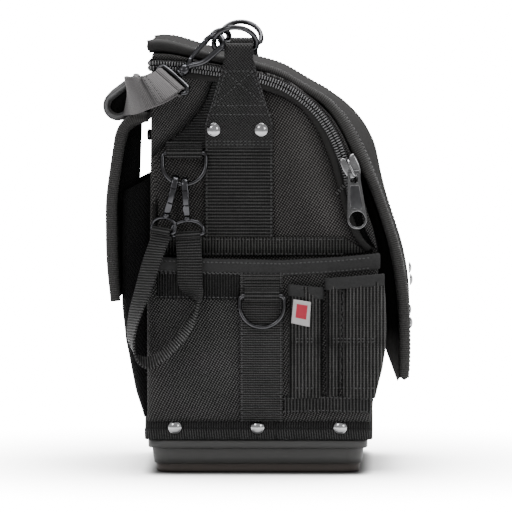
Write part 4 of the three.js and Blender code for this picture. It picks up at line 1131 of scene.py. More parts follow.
PUFF_STEPS = 20


def puff(piece, voxel, pressure, cap):
    """Fills a padded piece: its cloth is blown up against its own seams, a few millimetres
    at most, and rounded off."""
    remesh = piece.modifiers.new("remesh", "REMESH")
    remesh.mode = "VOXEL"
    remesh.voxel_size = voxel * MM
    rest = baked(piece)
    piece.modifiers.clear()
    piece.data = rest
    cloth = piece.modifiers.new("cloth", "CLOTH")
    cloth.settings.quality = 4
    cloth.settings.mass = 0.3
    cloth.settings.tension_stiffness = 25
    cloth.settings.compression_stiffness = 25
    cloth.settings.use_pressure = True
    cloth.settings.uniform_pressure_force = pressure
    cloth.settings.effector_weights.gravity = 0
    cloth.point_cache.frame_end = PUFF_STEPS
    for step in range(1, PUFF_STEPS + 1):
        bpy.context.scene.frame_set(step)
    blown = baked(piece)
    piece.modifiers.clear()
    bpy.context.scene.frame_set(1)
    start = np.empty(len(rest.vertices) * 3)
    end = np.empty(len(rest.vertices) * 3)
    rest.vertices.foreach_get("co", start)
    blown.vertices.foreach_get("co", end)
    change = (end - start).reshape(-1, 3)
    size = np.linalg.norm(change, axis=1)[:, None]
    change *= np.minimum(1, cap * MM / np.maximum(size, 1e-9))
    rest.vertices.foreach_set("co", (start.reshape(-1, 3) + change).ravel())
    rest.update()
    rest.shade_smooth()
    finer = piece.modifiers.new("smooth", "SUBSURF")
    finer.levels = 1
    finer.render_levels = 1
    return piece


def plain_cloth(name, dark, light, roughness=0.68, grain=0.0011, relief=0.0004):
    """Close, smooth nylon: only a fine grain and uneven dye show."""
    looks = Looks(name, light, roughness, gloss=0.0)
    place = looks.place("Object")
    fine = looks.noise(place, grain, 3.0)
    cloud = looks.noise(place, 0.035, 4.0)
    looks.colour(looks.blend(looks.math("MULTIPLY", fine, looks.span(cloud, 0.7, 1.4)), dark, light))
    looks.relief(fine, relief, 0.6)
    return looks.material


def sewing(name, lines, slot="webbing", pitch=3.2, size=(2.1, 1.05, 0.7), look=None):
    """Rows of thread stitches along (points, outward direction) lines."""
    piece = beads_along(name, lines, thread_form, look or thread, pitch, size)
    return fix(piece, look or thread, slot)


cover_pad = Pad(COVER_ROWS, COVER_STEPS, COVER_HALF)
cover = puff(cover_pad.piece("cover_flap_padded"), 2.7, 3.0, 1.0)
cover_cloth = plain_cloth("cover_nylon", (0.0060, 0.0060, 0.0060), (0.0180, 0.0175, 0.0173))
fix(cover, cover_cloth, "padding", "cover_flap")
BINDING_TONE = (0.0178, 0.0174, 0.0170)
BINDING_GAP = (0.0062, 0.0060, 0.0059)
BINDING_RIB = 0.0016
BINDING_PLAIN = (0, 0.02, -0.015, 0.12)
binding_cloth = ribbed(
    "cover_binding_web", BINDING_TONE, BINDING_GAP, BINDING_RIB, relief=0.0003, plain=BINDING_PLAIN,
)
flap_edge_cloth = ribbed("flap_edge_web", BINDING_TONE, BINDING_GAP, BINDING_RIB, relief=0.0003)
for side, sign in SIDES:
    fix(cover_pad.binding(f"cover_binding_{side}", sign, BINDING_WIDE), binding_cloth, "webbing")
    seam_y = COVER_HALF - SEAM_INSET
    seam = []
    for i in range(COVER_STEPS)[SEAM_STEPS]:
        seam.append(cover_pad.point(i, sign * seam_y, cover_pad.top(i, seam_y) + SEAM_LIFT))
    seam_out = [(a, 0, b) for a, b in cover_pad.up[SEAM_STEPS]]
    sewing(f"cover_binding_{side}_sewing", [(seam, seam_out)], "padding")

RETURN_OUTLINE = [
    (94, 190), (101.5, 166), (107, 142), (109.5, 120), (110, 74), (106.5, 69), (98, 92), (94.4, 106),
    (92, 120), (88.5, 150), (88.5, 168), (87.5, 184), (84.6, 198), (80.6, 210), (77.6, 222), (75.5, 231),
    (78.5, 231), (85.5, 212),
]
RETURN_DEPTH = (84, 81)
RETURN_FADE = (0.072, 0.110)
RETURN_TONE = (0.0195, 0.0189, 0.0186)
RETURN_PAINTED_SHADE = (0.0012, 0.0012, 0.0012)
# Painted shade: each return is painted near black above its foot, where the hanging flap shades it.
return_looks = Looks("cover_return_painted_shade", RETURN_TONE, 0.68, gloss=0.0)
return_height = return_looks.parts(return_looks.place("Object"))[2]
return_painted_shade_rise = return_looks.span(return_height, 0.0, 1.0, *RETURN_FADE)
return_looks.colour(return_looks.blend(return_painted_shade_rise, RETURN_TONE, RETURN_PAINTED_SHADE))
for side, sign in SIDES:
    cover_return = plate(f"cover_return_{side}", RETURN_OUTLINE, *(sign * depth for depth in RETURN_DEPTH))
    fix(cover_return, return_looks.material, "padding")

# Side straps: wide ribbed webbing up each side, folded to half its width at the top, looped
# round the top ring's bar and sewn with box stitches.
STRAP_MIDDLE = -14.25
STRAP_WIDTHS = [(180, 26), (266, 26), (316, 10.9), (330, 10.9)]
STRAP_PATH = [
    (-99.3, 180.4), (-99.3, 200), (-99.3, 240), (-99.3, 280), (-99.4, 306), (-100.4, 314), (-102.2, 319.5),
    (-102.7, 323.5), (-101.8, 325.9), (-99.5, 326.8), (-97.2, 325.9), (-96.4, 323.5), (-96.8, 319.5),
    (-97.9, 314), (-98.2, 307),
]
WEB_EDGE = [
    (-1, -0.4), (-1, 0.4), (-0.985, 0.8), (-0.95, 1), (-0.5, 1), (0, 1), (0.5, 1), (0.95, 1), (0.985, 0.8),
    (1, 0.4), (1, -0.4), (0.985, -0.8), (0.95, -1), (0, -1), (-0.95, -1), (-0.985, -0.8),
]
STRAP_TONE = (0.0185, 0.0184, 0.0182)
STRAP_GAP = (0.0007, 0.0007, 0.0007)


def webbing(name, points, across, halves, thickness):
    """A strap of webbing: points on its middle line, the way across it and its half width."""
    points = np.asarray(points, float)
    across = np.broadcast_to(np.asarray(across, float), points.shape)
    across = across / np.linalg.norm(across, axis=1)[:, None]
    halves = np.broadcast_to(np.asarray(halves, float), len(points))
    ahead = np.gradient(points, axis=0)
    out = np.cross(across, ahead)
    out /= np.linalg.norm(out, axis=1)[:, None]
    rows = []
    for point, side, up, half in zip(points, across, out, halves):
        rows.append([point + side * half * a + up * thickness / 2 * b for a, b in WEB_EDGE])
    return skin(name, rows)


STRAP_RIB = 0.0025
STRAP_PLAIN = (2, 0.246, 0.252, 0.36)
strap_cloth = ribbed("strap_web_cloth", STRAP_TONE, STRAP_GAP, STRAP_RIB, relief=0.0009, plain=STRAP_PLAIN)
tab_cloth = ribbed("tab_web_cloth", STRAP_TONE, STRAP_GAP, STRAP_RIB, relief=0.0009)
STRAP_THICK = 1.8
STRAP_SEWN = 100.25
strap_path = smooth(STRAP_PATH, 130)
strap_half = np.interp(strap_path[:, 1], *np.array(STRAP_WIDTHS).T)
strap_half[np.argmax(strap_path[:, 1]):] = STRAP_WIDTHS[-1][1]
STRAP_SEAMS = [
    [(-24.4, 306.5), (-4.2, 306.5)], [(-33, 280.3), (5.2, 280.3)], [(-37.5, 273.5), (9.3, 273.5)],
    [(-38.5, 253), (10.2, 253)], [(-38.5, 250.4), (10.2, 250.4)], [(-24.4, 306), (-33, 280.6)],
    [(-4.2, 306), (5.2, 280.6)], [(-24, 305.5), (5, 281)], [(-4.6, 305.5), (-32.8, 281)],
    [(-26, 310), (-39, 266.5)], [(-2.7, 310), (10.6, 266.5)],
    [(-38.6, 250), (-38.6, 181.5)], [(10.3, 250), (10.3, 181.5)],
]
for side, sign in SIDES:
    strap_points = [(STRAP_MIDDLE, -sign * y, z) for y, z in strap_path]
    strap = webbing(f"side_strap_{side}_web", strap_points, (-sign, 0, 0), strap_half, STRAP_THICK)
    fix(strap, strap_cloth, "webbing", f"side_strap_{side}")
    lines = []
    for start, end in STRAP_SEAMS:
        spots = np.linspace(start, end, 12)
        lines.append(([(x, sign * STRAP_SEWN, z) for x, z in spots], (0, sign, 0)))
    sewing(f"side_strap_{side}_sewing", lines)

# Rings: D-rings bent from round wire and plated dark, two on top, one on the near side's
# tab and one on the near pocket.
WIRE = 1.75
TOP_WIRE = 2.0
RING_CORNER = 3
TOP_RING = (-16.9, 99.5, 323.5, 16.25, 5, 40)
TAB_RING = (-55.7, 102.3, 243.9, 16.5, 7.5, 11.3)
POCKET_RING = (3.6, 115.8, 136, 17.05, 6.7, 0)


def wire(name, points, normal, radius, sides=14, closed=True):
    """Round wire along a flat path; the normal is square to the path's plane."""
    points = np.asarray(points, float)
    normal = np.asarray(normal, float) / np.linalg.norm(normal)
    radius = np.broadcast_to(np.asarray(radius, float), len(points)).copy()
    if closed:
        ahead = np.roll(points, -1, axis=0) - np.roll(points, 1, axis=0)
    else:
        ahead = np.gradient(points, axis=0)
    ahead /= np.linalg.norm(ahead, axis=1)[:, None]
    beside_path = np.cross(ahead, normal)
    turns = np.linspace(0, 2 * math.pi, sides, endpoint=False)

    def ring(i, scale=1.0, forward=0.0):
        spot = points[i] + ahead[i] * forward
        size = radius[i] * scale
        return [spot + beside_path[i] * size * math.cos(t) + normal * size * math.sin(t) for t in turns]

    last = len(points) - 1
    rows = [ring(i) for i in range(len(points))]
    if closed:
        piece = skin(name, rows + rows[:1], ends=False)
        return weld(piece)
    first_r, last_r = radius[0], radius[last]
    rows = [ring(0, 0.2, -first_r * 0.7), ring(0, 0.75, -first_r * 0.5)] + rows
    rows += [ring(last, 0.75, last_r * 0.5), ring(last, 0.2, last_r * 0.7)]
    return skin(name, rows)


def arc(a, b, radius, start, end, steps):
    turns = np.radians(np.linspace(start, end, steps + 1))
    return [(a + radius * math.cos(t), b + radius * math.sin(t)) for t in turns]


def d_ring(name, ring, upward, sign=-1, radius=WIRE):
    x, y, z, half, leg, lean = ring
    tilt = math.radians(lean)
    away = np.array((0, sign * math.sin(tilt), upward * math.cos(tilt)))
    outline = arc(half - RING_CORNER, RING_CORNER, RING_CORNER, -90, 0, 6)
    outline += arc(0, leg, half, 0, 180, 40)
    outline += arc(RING_CORNER - half, RING_CORNER, RING_CORNER, 180, 270, 6)
    points = [np.array((x + a, sign * y, z)) + away * b for a, b in outline]
    return wire(name, points, np.cross((1, 0, 0), away), radius)


gunmetal = metal("ring_gunmetal", (0.010, 0.010, 0.011), 0.2, (0.028, 0.028, 0.029))
fix(d_ring("top_ring_near_wire", TOP_RING, 1, radius=TOP_WIRE), gunmetal, "gunmetal", "top_ring_near")
fix(d_ring("top_ring_far_wire", TOP_RING, 1, 1, TOP_WIRE), gunmetal, "gunmetal", "top_ring_far")
fix(d_ring("tab_ring_wire", TAB_RING, -1), gunmetal, "gunmetal", "tab_ring")
pocket_ring = d_ring("pocket_ring_wire", POCKET_RING, -1)
fix(pocket_ring, gunmetal, "gunmetal", "pocket_ring", body="hanging_ring")

# Ring tab: a short webbing on the near side, folded round its ring's bar and sewn down
# under the slanting seam.
TAB_PATH = [
    (-99.4, 252.6), (-99.9, 250.8), (-101.4, 248.8), (-104.2, 246.6), (-105.5, 243.9), (-104.6, 241.4),
    (-102.3, 240.7), (-100, 241.6), (-99.2, 244),
]
TAB_HALF = 13.5
TAB_THICK = 1.7
tab_path = smooth(TAB_PATH, 50)
flat_tab_cloth = ribbed("tab_root_cloth", (0.0130, 0.0130, 0.0129), STRAP_GAP, 0.0021, relief=0.0009)
tab = webbing("ring_tab_web", [(TAB_RING[0], y, z) for y, z in tab_path], (-1, 0, 0), TAB_HALF, TAB_THICK)
fix(tab, tab_cloth, "webbing", "ring_tab")
TAB_ROOT = [
    (-32.4, 303), (-35.2, 294), (-38.2, 285.6), (-42.4, 277.4), (-49, 269), (-56.8, 261), (-65.4, 253.4),
    (-69, 249.6), (-69, 247.2), (-38, 247.2), (-38, 264), (-34, 280), (-28, 300),
]
fix(plate("ring_tab_root", TAB_ROOT, -97.9, -99.4), flat_tab_cloth, "webbing")
sewing("ring_tab_sewing", [([(-68, -101.2, 249.8), (-43.4, -101.2, 249.8)], (0, -1, 0.3))])

# Side hems: ribbed tape sewn across each side wall above the pocket, its front end cut on a
# slant under the zip.
HEM_OUTLINE = [
    (-78, 165.2), (-40, 165.4), (10, 165.8), (60, 166.4), (82, 168.6), (74, 174.6), (66, 180), (-78, 180),
]
HEM_DEPTH = (97.9, 99.8)
HEM_SEWN = 99.85
HEM_SEAMS = (167.2, 178.4)
hem_cloth = ribbed("hem_tape", (0.0215, 0.0215, 0.0206), (0.0008, 0.0008, 0.0008), 0.0023, "U", 0.0009)
for side, sign in SIDES:
    hem = plate(f"side_hem_{side}_tape", HEM_OUTLINE, *(sign * depth for depth in HEM_DEPTH))
    fix(hem, hem_cloth, "webbing", f"side_hem_{side}")
    hem_lines = []
    for z in HEM_SEAMS:
        hem_lines.append(([(x, sign * HEM_SEWN, z) for x in np.linspace(-76, 64, 20)], (0, sign, 0)))
    sewing(f"side_hem_{side}_sewing", hem_lines)

# Side pockets: an open pocket of woven nylon on each side, fuller towards its mouth, its
# foot turned over the base band and its mouth bound in smooth tape.
POCKET_FOOT = 39.6
POCKET_DEPTH = [(39, 3.0), (42, 5.0), (48, 7.2), (60, 9.2), (85, 11.2), (110, 12), (175, 12)]
POCKET_FRONT = [(39, 86), (100, 91), (175, 92.2)]
POCKET_BACK_X = -84
POCKET_ROOT = 98.2
POCKET_CORNER = 7
POCKET_CLOTH = 1.8
POCKET_SLACK = 1.7
MOUTH_HEIGHT = 165
MOUTH_SEWN = 13.4
MOUTH_SEAMS = (9.6, 1.8)
MOUTH_LINE = [(-100, 165.5), (-40, 163.4), (20, 162.2), (60, 164.4), (110, 169)]


def at_height(table, z):
    return float(np.interp(z, *np.array(table).T))


def mouth(x):
    return float(np.interp(x, *np.array(MOUTH_LINE).T))


def wall_path(start, end, depth, corner, steps=5, middle=30):
    """A pocket's outline in plan, from the wall out, along and back: (along, out, normal)."""
    corner = min(corner, depth * 0.95)
    path = [(start, 0, (-1, 0)), (start, (depth - corner) / 2, (-1, 0))]
    for turn in np.linspace(180, 90, steps + 1):
        angle = math.radians(turn)
        normal = (math.cos(angle), math.sin(angle))
        path.append((start + corner + corner * normal[0], depth - corner + corner * normal[1], normal))
    for along in np.linspace(start + corner, end - corner, middle)[1:-1]:
        path.append((along, depth, (0, 1)))
    for turn in np.linspace(90, 0, steps + 1):
        angle = math.radians(turn)
        normal = (math.cos(angle), math.sin(angle))
        path.append((end - corner + corner * normal[0], depth - corner + corner * normal[1], normal))
    path += [(end, (depth - corner) / 2, (1, 0)), (end, 0, (1, 0))]
    return path


def slack(along, z, amount):
    """How far soft cloth stands off its even form, in slow folds."""
    spot = Vector((along * 0.035, z * 0.022, 1.7))
    return amount * noise.noise(spot) + 0.5 * amount * noise.noise(spot * 2.3)


pocket_cloth = woven("pocket_nylon", (0.0285, 0.0281, 0.0277), (0.0009, 0.0009, 0.0009), 0.0016)
tape_look = plain_cloth("pocket_binding_tape", (0.0060, 0.0060, 0.0060), (0.0138, 0.0138, 0.0139))
BINDING_SECTION = [
    (-1.6, -10), (-1.6, 0.2), (-0.6, 1.0), (0.6, 0.7), (1.3, -0.3), (1.45, -5), (1.3, -10.4),
    (0.9, -11), (-0.2, -11),
]
for side, sign in SIDES:
    rows = []
    for share in np.linspace(0, 1, 36):
        z_mid = POCKET_FOOT + (mouth(0) - POCKET_FOOT) * share
        depth = at_height(POCKET_DEPTH, z_mid)
        row = []
        for x, out, normal in wall_path(POCKET_BACK_X, at_height(POCKET_FRONT, z_mid), depth, POCKET_CORNER):
            z = POCKET_FOOT + (mouth(x) - POCKET_FOOT) * share
            loose = slack(x, z, POCKET_SLACK) * (out / depth) * math.sin(math.pi * min(1, share * 1.02))
            row.append((x, sign * (POCKET_ROOT + out + loose), z))
        rows.append(row)
    pocket = skin(f"side_pocket_{side}_cloth", rows, closed=False, ends=False)
    thicken(pocket, POCKET_CLOTH)
    fix(pocket, pocket_cloth, "nylon", f"side_pocket_{side}")
    rows = []
    mouth_depth = at_height(POCKET_DEPTH, MOUTH_HEIGHT)
    mouth_front = at_height(POCKET_FRONT, MOUTH_HEIGHT)
    for x, out, normal in wall_path(POCKET_BACK_X, mouth_front, mouth_depth, POCKET_CORNER):
        row = []
        for proud, height in BINDING_SECTION:
            across = x + normal[0] * proud
            row.append((across, sign * (POCKET_ROOT + max(out + normal[1] * proud, 0)), mouth(x) + height))
        rows.append(row)
    binding = skin(f"pocket_hem_{side}_tape", rows)
    fix(binding, tape_look, "tape", f"pocket_hem_{side}")
    lines = []
    for drop in MOUTH_SEAMS:
        spots = [(x, sign * (POCKET_ROOT + MOUTH_SEWN), mouth(x) - drop) for x in np.linspace(-76, 84, 40)]
        lines.append((spots, (0, sign, 0)))
    sewing(f"pocket_hem_{side}_sewing", lines, "tape")

# Pocket front: ribbed tape up the middle of the near pocket and across its rear half, and
# a folded tab of webbing that holds the hanging ring.
STRIP_MIDDLE = 3.05
STRIP_HALF = 16.3
STRIP_TOP = 153
STRIP_THICK = 1.4
STRIP_TONE = (0.0235, 0.0233, 0.0231)
STRIP_GAP = (0.0014, 0.0014, 0.0014)
strip_cloth = ribbed("pocket_strip_tape", STRIP_TONE, STRIP_GAP, 0.0018, "V", 0.0006)
strip_levels = np.linspace(POCKET_FOOT + 1, STRIP_TOP, 40)
strip_points = [(STRIP_MIDDLE, -POCKET_ROOT - at_height(POCKET_DEPTH, z) - 1.3, z) for z in strip_levels]
strip = webbing("pocket_strip_web", strip_points, (1, 0, 0), STRIP_HALF, STRIP_THICK)
fix(strip, strip_cloth, "webbing", "pocket_strip")
strip_lines = []
for x in (STRIP_MIDDLE - STRIP_HALF + 1.5, STRIP_MIDDLE + STRIP_HALF - 1.5):
    strip_lines.append(([(x, y - 0.75, z) for a, y, z in strip_points], (0, -1, 0)))
sewing("pocket_strip_sewing", strip_lines)
CROSS_TONE = (0.0095, 0.0095, 0.0094)
CROSS_GAP = (0.0008, 0.0008, 0.0008)
CROSS_MIDDLE = 142
CROSS_HALF = 10.5
CROSS_THICK = 1.2
CROSS_SEAM = 9
cross_cloth = ribbed("pocket_cross_tape", CROSS_TONE, CROSS_GAP, 0.0021, "V", 0.0009)
cross_points = [(x, -POCKET_ROOT - 12.9, CROSS_MIDDLE + 1.5 - x * 0.012) for x in np.linspace(-76, -13.5, 30)]
cross = webbing("pocket_cross_web", cross_points, (0, 0, 1), CROSS_HALF, CROSS_THICK)
fix(cross, cross_cloth, "webbing")
cross_lines = []
for rise in (-CROSS_SEAM, CROSS_SEAM):
    cross_lines.append(([(x, y - 0.7, z + rise) for x, y, z in cross_points], (0, -1, 0)))
sewing("pocket_cross_sewing", cross_lines)
RING_TAB_PATH = [
    (-112.0, 149.5), (-112.6, 145), (-115, 141.2), (-118.2, 138.8), (-119.0, 136), (-118.2, 133.6),
    (-115.8, 132.8), (-113.4, 133.8), (-112.5, 136),
]
RING_TAB_HALF = 13.3
RING_TAB_THICK = 1.4
ring_tab_path = smooth(RING_TAB_PATH, 50)
ring_tab_points = [(POCKET_RING[0], y, z) for y, z in ring_tab_path]
ring_tab = webbing("pocket_ring_tab_web", ring_tab_points, (-1, 0, 0), RING_TAB_HALF, RING_TAB_THICK)
fix(ring_tab, tab_cloth, "webbing", "pocket_ring_tab")

# Loop pockets: two narrow pockets of ribbed webbing on the front half of the near pocket,
# the front one wide and pleated, with smooth binding at its mouth, sewn across twice.
LOOP_FOOT = 58
LOOP_SWELL = [(58, 2.4), (66, 4.2), (75, 5.4), (100, 6.6), (152, 6.6)]
LOOP_EDGE = [(58, 89.6), (71, 92.8), (79, 95), (94, 97.4), (109, 98.4), (130, 97.4), (150, 95.8)]
LOOPS = [("loop_pocket_rear", 24.2, 49.6, 144.5, 142), ("loop_pocket_front", 52.2, 95.6, 149, 152.5)]
LOOP_CREASE = 64.2
LOOP_CLOTH = 1.6
LOOP_SEAMS = (66, 101.5, 104)
FOOT_HALF_WIDE = 6.3
FOOT_LEAN = 0.17
LOOP_TONE = (0.0270, 0.0266, 0.0262)
loop_cloth = ribbed("loop_web", LOOP_TONE, (0.0006, 0.0006, 0.0006), 0.0026, "U", 0.0012, shade=True)


def crease(x, z):
    return math.exp(-((x - LOOP_CREASE - (z - 100) * 0.02) / 2.6) ** 2)


def loop_looseness(x, z, start, end):
    nip = 1.6 * math.exp(-((z - 101) / 5) ** 2) + 1.0 * math.exp(-((z - 66) / 5) ** 2)
    bulge = 1.6 * math.sin(math.pi * min(1, max(0, (x - start) / (end - start))))
    return slack(x * 2.4, z * 1.3, 1.8) - nip + bulge - 3.6 * crease(x, z)


# Painted shade in the front loop's crease, along the upper seam, in the pleat between the loops and at the
# rear edge, with painted light and shade along slow folds.
def loop_painted_shade(x, y, z):
    seam = math.exp(-((z - 101) / 4) ** 2)
    pleat = math.exp(-((x - 51) / 4) ** 2)
    edge = math.exp(-((x - 24) / 3) ** 2)
    fold = 0.25 * noise.noise(Vector((x * 0.16, z * 0.05, 4.2)))
    painted_loop_shade = (1 - 0.55 * crease(x, z)) * (1 - 0.35 * seam) * (1 - 0.75 * pleat)
    return painted_loop_shade * (1 - 0.5 * edge) * (1.05 + fold)


for name, start, end, top_start, top_end in LOOPS:
    rows = []
    for share in np.linspace(0, 1, 34):
        row = []
        z_mid = LOOP_FOOT + (top_start - LOOP_FOOT) * share
        depth = at_height(LOOP_SWELL, z_mid)
        edge = at_height(LOOP_EDGE, z_mid) if end > 90 else end
        for x, out, normal in wall_path(start, edge, depth, 6, 6, 40):
            z_top = top_start + (top_end - top_start) * (x - start) / (end - start)
            z = LOOP_FOOT + (z_top - LOOP_FOOT) * share
            loose = loop_looseness(x, z, start, end)
            face = POCKET_ROOT + at_height(POCKET_DEPTH, z) + 0.2 + out + loose * out / depth
            row.append((x, -face, z))
        rows.append(row)
    loop = skin(f"{name}_web", rows, closed=False, ends=False, flat=lambda x, y, z: (x, z))
    shaded(loop, loop_painted_shade)
    thicken(loop, LOOP_CLOTH)
    fix(loop, loop_cloth, "webbing", name)
    lines = []
    for z in LOOP_SEAMS:
        spots = []
        for x in np.linspace(start + 6, end - 8, 24):
            out = at_height(POCKET_DEPTH, z) + at_height(LOOP_SWELL, z) + 0.4
            spots.append((x, -POCKET_ROOT - out - loop_looseness(x, z, start, end), z))
        lines.append((spots, (0, -1, 0)))
    sewing(f"{name}_sewing", lines)
    rim = []
    for x, out, normal in wall_path(start, end, 6.6, 4, 5, 24):
        z_top = top_start + (top_end - top_start) * (x - start) / (end - start)
        row = []
        for proud, height in BINDING_SECTION:
            face = POCKET_ROOT + 12.2 + max(out + normal[1] * proud * 0.8, 0)
            row.append((x + normal[0] * proud * 0.8, -face, z_top + height * 0.75))
        rim.append(row)
    fix(skin(f"{name}_rim", rim), tape_look, "tape")
crease_line = []
for i, z in enumerate(np.linspace(140, 70, 36)):
    x = LOOP_CREASE + (z - 100) * 0.02 + (0.9 if i % 2 else -0.9)
    out = at_height(POCKET_DEPTH, z) + at_height(LOOP_SWELL, z) + 0.3
    crease_line.append((x, -POCKET_ROOT - out - loop_looseness(LOOP_CREASE, z, *LOOPS[1][1:3]), z))
sewing("loop_crease_sewing", [(crease_line, (0, -1, 0))], pitch=2.2, size=(2.0, 0.9, 0.7))
FOOT_TAPE = [(x, 52.6 + 0.9 * math.sin((x - 20) * 0.05)) for x in np.linspace(20.5, 86, 30)]
foot_points = [(x, -POCKET_ROOT - at_height(POCKET_DEPTH, z) - 1.6, z) for x, z in FOOT_TAPE]
foot_tape = webbing("loop_foot_tape", foot_points, (0, -FOOT_LEAN, 1), FOOT_HALF_WIDE, 1.6)
fix(foot_tape, tab_cloth, "webbing")
foot_lines = []
for rise in (-5, 5):
    foot_lines.append(([(x, y - 0.95 - FOOT_LEAN * rise, z + rise) for x, y, z in foot_points], (0, -1, 0)))
sewing("loop_foot_sewing", foot_lines)

# Tag: a small woven label sewn on the rear loop pocket. It is plain, a red field on a pale
# ground, and stands off a little at its foot.
TAG_CORNERS = [(25.8, 116), (39.8, 113), (40.8, 132), (27.6, 134)]
TAG_FIELD = [(0.0028, 0.0112), (0.0048, 0.0155)]
TAG_THICK = 0.7
tag_looks = Looks("tag_cloth", (0.25, 0.24, 0.24), 0.7)
tag_place = tag_looks.place("UV")
tag_split = tag_looks.parts(tag_place)
tag_field = 1.0
for axis, (low, high) in enumerate(TAG_FIELD):
    for operation, limit in (("GREATER_THAN", low), ("LESS_THAN", high)):
        tag_field = tag_looks.math("MULTIPLY", tag_field, tag_looks.math(operation, tag_split[axis], limit))
tag_looks.colour(tag_looks.blend(tag_field, (0.12, 0.115, 0.115), (0.11, 0.006, 0.012)))
tag_looks.relief(tag_looks.wave(tag_split[1], 0.0009), 0.0001, 0.5)
TAG_FACE = 120.4
tag_low_left, tag_low_right, tag_top_right, tag_top_left = (np.array(corner) for corner in TAG_CORNERS)
tag_front = []
for up in np.linspace(0, 1, 8):
    left = tag_low_left + (tag_top_left - tag_low_left) * up
    right = tag_low_right + (tag_top_right - tag_low_right) * up
    row = []
    for along in np.linspace(0, 1, 8):
        x, z = left + (right - left) * along
        row.append((x, -TAG_FACE - 0.5 * math.sin(math.pi * along) * (1 - up), z))
    tag_front.append(row)
tag_front = np.array(tag_front)
tag_behind = tag_front.copy()
tag_behind[:, :, 1] += TAG_THICK
tag = skin("tag_label", np.concatenate([tag_front, tag_behind[:, ::-1]], axis=1))
fix(tag, tag_looks.material, "tag", "tag")

# Back pocket: an open pocket of woven nylon across the back, sewn to the wall at both sides
# and its foot, and deep at its mouth under the back flap.
BACK_HALF = 88
BACK_LOW = 42
BACK_MIDDLE_TOP = 220
BACK_SIDE_TOP = 226
BACK_DROP = 12
BACK_OUT = 23
BACK_CLOTH = 1.8
BACK_DEPTH = [(43, 3), (60, 9.6), (101, 18.2), (132, 21.6), (226, 23)]
BACK_WALL = [(25, -84), (43, -84), (120, -82), (226, -80), (306, -80.8)]
rows = []
for share in np.linspace(0, 1, 34):
    z_mid = BACK_LOW + (BACK_MIDDLE_TOP - BACK_LOW) * share
    depth = at_height(BACK_DEPTH, z_mid)
    row = []
    for y, out, normal in wall_path(-BACK_HALF, BACK_HALF, depth, 8, 6, 30):
        z_top = BACK_SIDE_TOP - BACK_DROP * min(1, out / BACK_OUT)
        z = BACK_LOW + (z_top - BACK_LOW) * share
        row.append((at_height(BACK_WALL, z) - 0.2 - out - slack(y, z, 1.0) * out / depth, y, z))
    rows.append(row)
back_pocket = skin("back_pocket_cloth", rows, closed=False, ends=False)
# Painted shade: the pocket's side ends are painted black, and its back face is at 0.8 of its colour.
shaded(back_pocket, lambda x, y, z: 0 if abs(y) > 82 else 0.8)
thicken(back_pocket, BACK_CLOTH)
back_cloth = woven("back_pocket_nylon", REAR_TONE, (0.0006, 0.0006, 0.0006), 0.0016, shade=True)
fix(back_pocket, back_cloth, "nylon", "back_pocket")

# Back flap: a padded flap over the back pocket, bound in ribbed webbing along its edges, with
# soft side returns in near-black cloth that is painted shade, and a small turned knob beside it.
BACK_FLAP_ROWS = [
    (-108.2, 130.5, 6.4, 0), (-110.6, 160, 7.5, 0), (-111.3, 190, 7.5, 0), (-110.9, 209, 7.5, 0),
    (-108.2, 230, 7.5, 0), (-105.8, 246, 7.5, 0), (-103.6, 258, 7.5, 0), (-99, 265.6, 7.4, 0),
    (-92, 269.4, 7, 0), (-83.6, 270.6, 6, 0),
]
FLAP_HALF = 90
FLAP_RETURN_DEPTH = (80, 77)
flap_pad = Pad(BACK_FLAP_ROWS, 70, FLAP_HALF, 0.5)
back_flap = puff(flap_pad.piece("back_flap_padded"), 4.5, 3.0, 1.4)
fix(back_flap, cover_cloth, "padding", "back_flap")
FLAP_RETURN_INNER = {"near": [(-88.4, 267.5), (-90.4, 214)], "far": [(-94, 267), (-99, 234)]}
for side, sign in SIDES:
    fix(flap_pad.binding(f"back_flap_binding_{side}", sign, BINDING_WIDE), flap_edge_cloth, "webbing")
    inner = FLAP_RETURN_INNER[side]
    outline = inner + [(-104.5, 206), (-108.4, 216), (-104.6, 256), (-98, 266)]
    flap_return = plate(f"back_flap_return_{side}", outline, *(sign * depth for depth in FLAP_RETURN_DEPTH))
    # The returns are near-black cloth, painted shade under the flap.
    fix(flap_return, shade_black_cloth, "padding")
KNOB_PROFILE = [
    (0, 0), (2.6, 0), (2.4, 1.4), (4.0, 1.8), (4.4, 2.6), (4.3, 3.5), (3.4, 4.4), (1.6, 4.8), (0, 4.85),
]
KNOB_AT = (-80.3, -70, 257)
knob = lathe("back_knob_turned", KNOB_PROFILE, 24)


def stand(piece, at, axis):
    """Turns a piece made round Z to an axis, and moves it into place, in its own points."""
    turn = Vector(axis).to_track_quat("Z", "Y").to_matrix().to_4x4()
    turn.translation = Vector(at) * MM
    piece.data.transform(turn)
    return piece


fix(stand(knob, KNOB_AT, (-1, 0, 0)), gunmetal, "gunmetal", "back_knob")

# Zip slider and pull: a cast slider over the teeth with a bail bent over it, and a flat
# cast pull with a slot at the bail and a round hole at its end.
SLIDER_CENTRE = np.array((70.9, -98.3, 233.6))
SLIDER_DOWN = np.array((0.4, 0, -0.917))
SLIDER_ACROSS = np.array((0.917, 0, 0.4))
OUT = np.array((0, -1, 0))
SLIDER_OUTLINE = [
    (-9, -3), (-8.4, -5.6), (-6, -6.4), (0, -6.7), (5, -5.8), (8.6, -4.2), (9, -2), (9, 2), (8.6, 4.2),
    (5, 5.8), (0, 6.7), (-6, 6.4), (-8.4, 5.6), (-9, 3), (-6.6, 1.4), (-5.8, 0), (-6.6, -1.4),
]
SLIDER_HEIGHTS = [(0.4, 0.94), (0.8, 1.0), (2.9, 1.0), (3.4, 0.93), (3.6, 0.82)]
BAIL_LINE = [(-6.2, 2.8), (-5.6, 6.6), (-3.4, 8.8), (0, 9.3), (4.8, 9.3), (7.2, 7.8), (7.8, 2.8)]


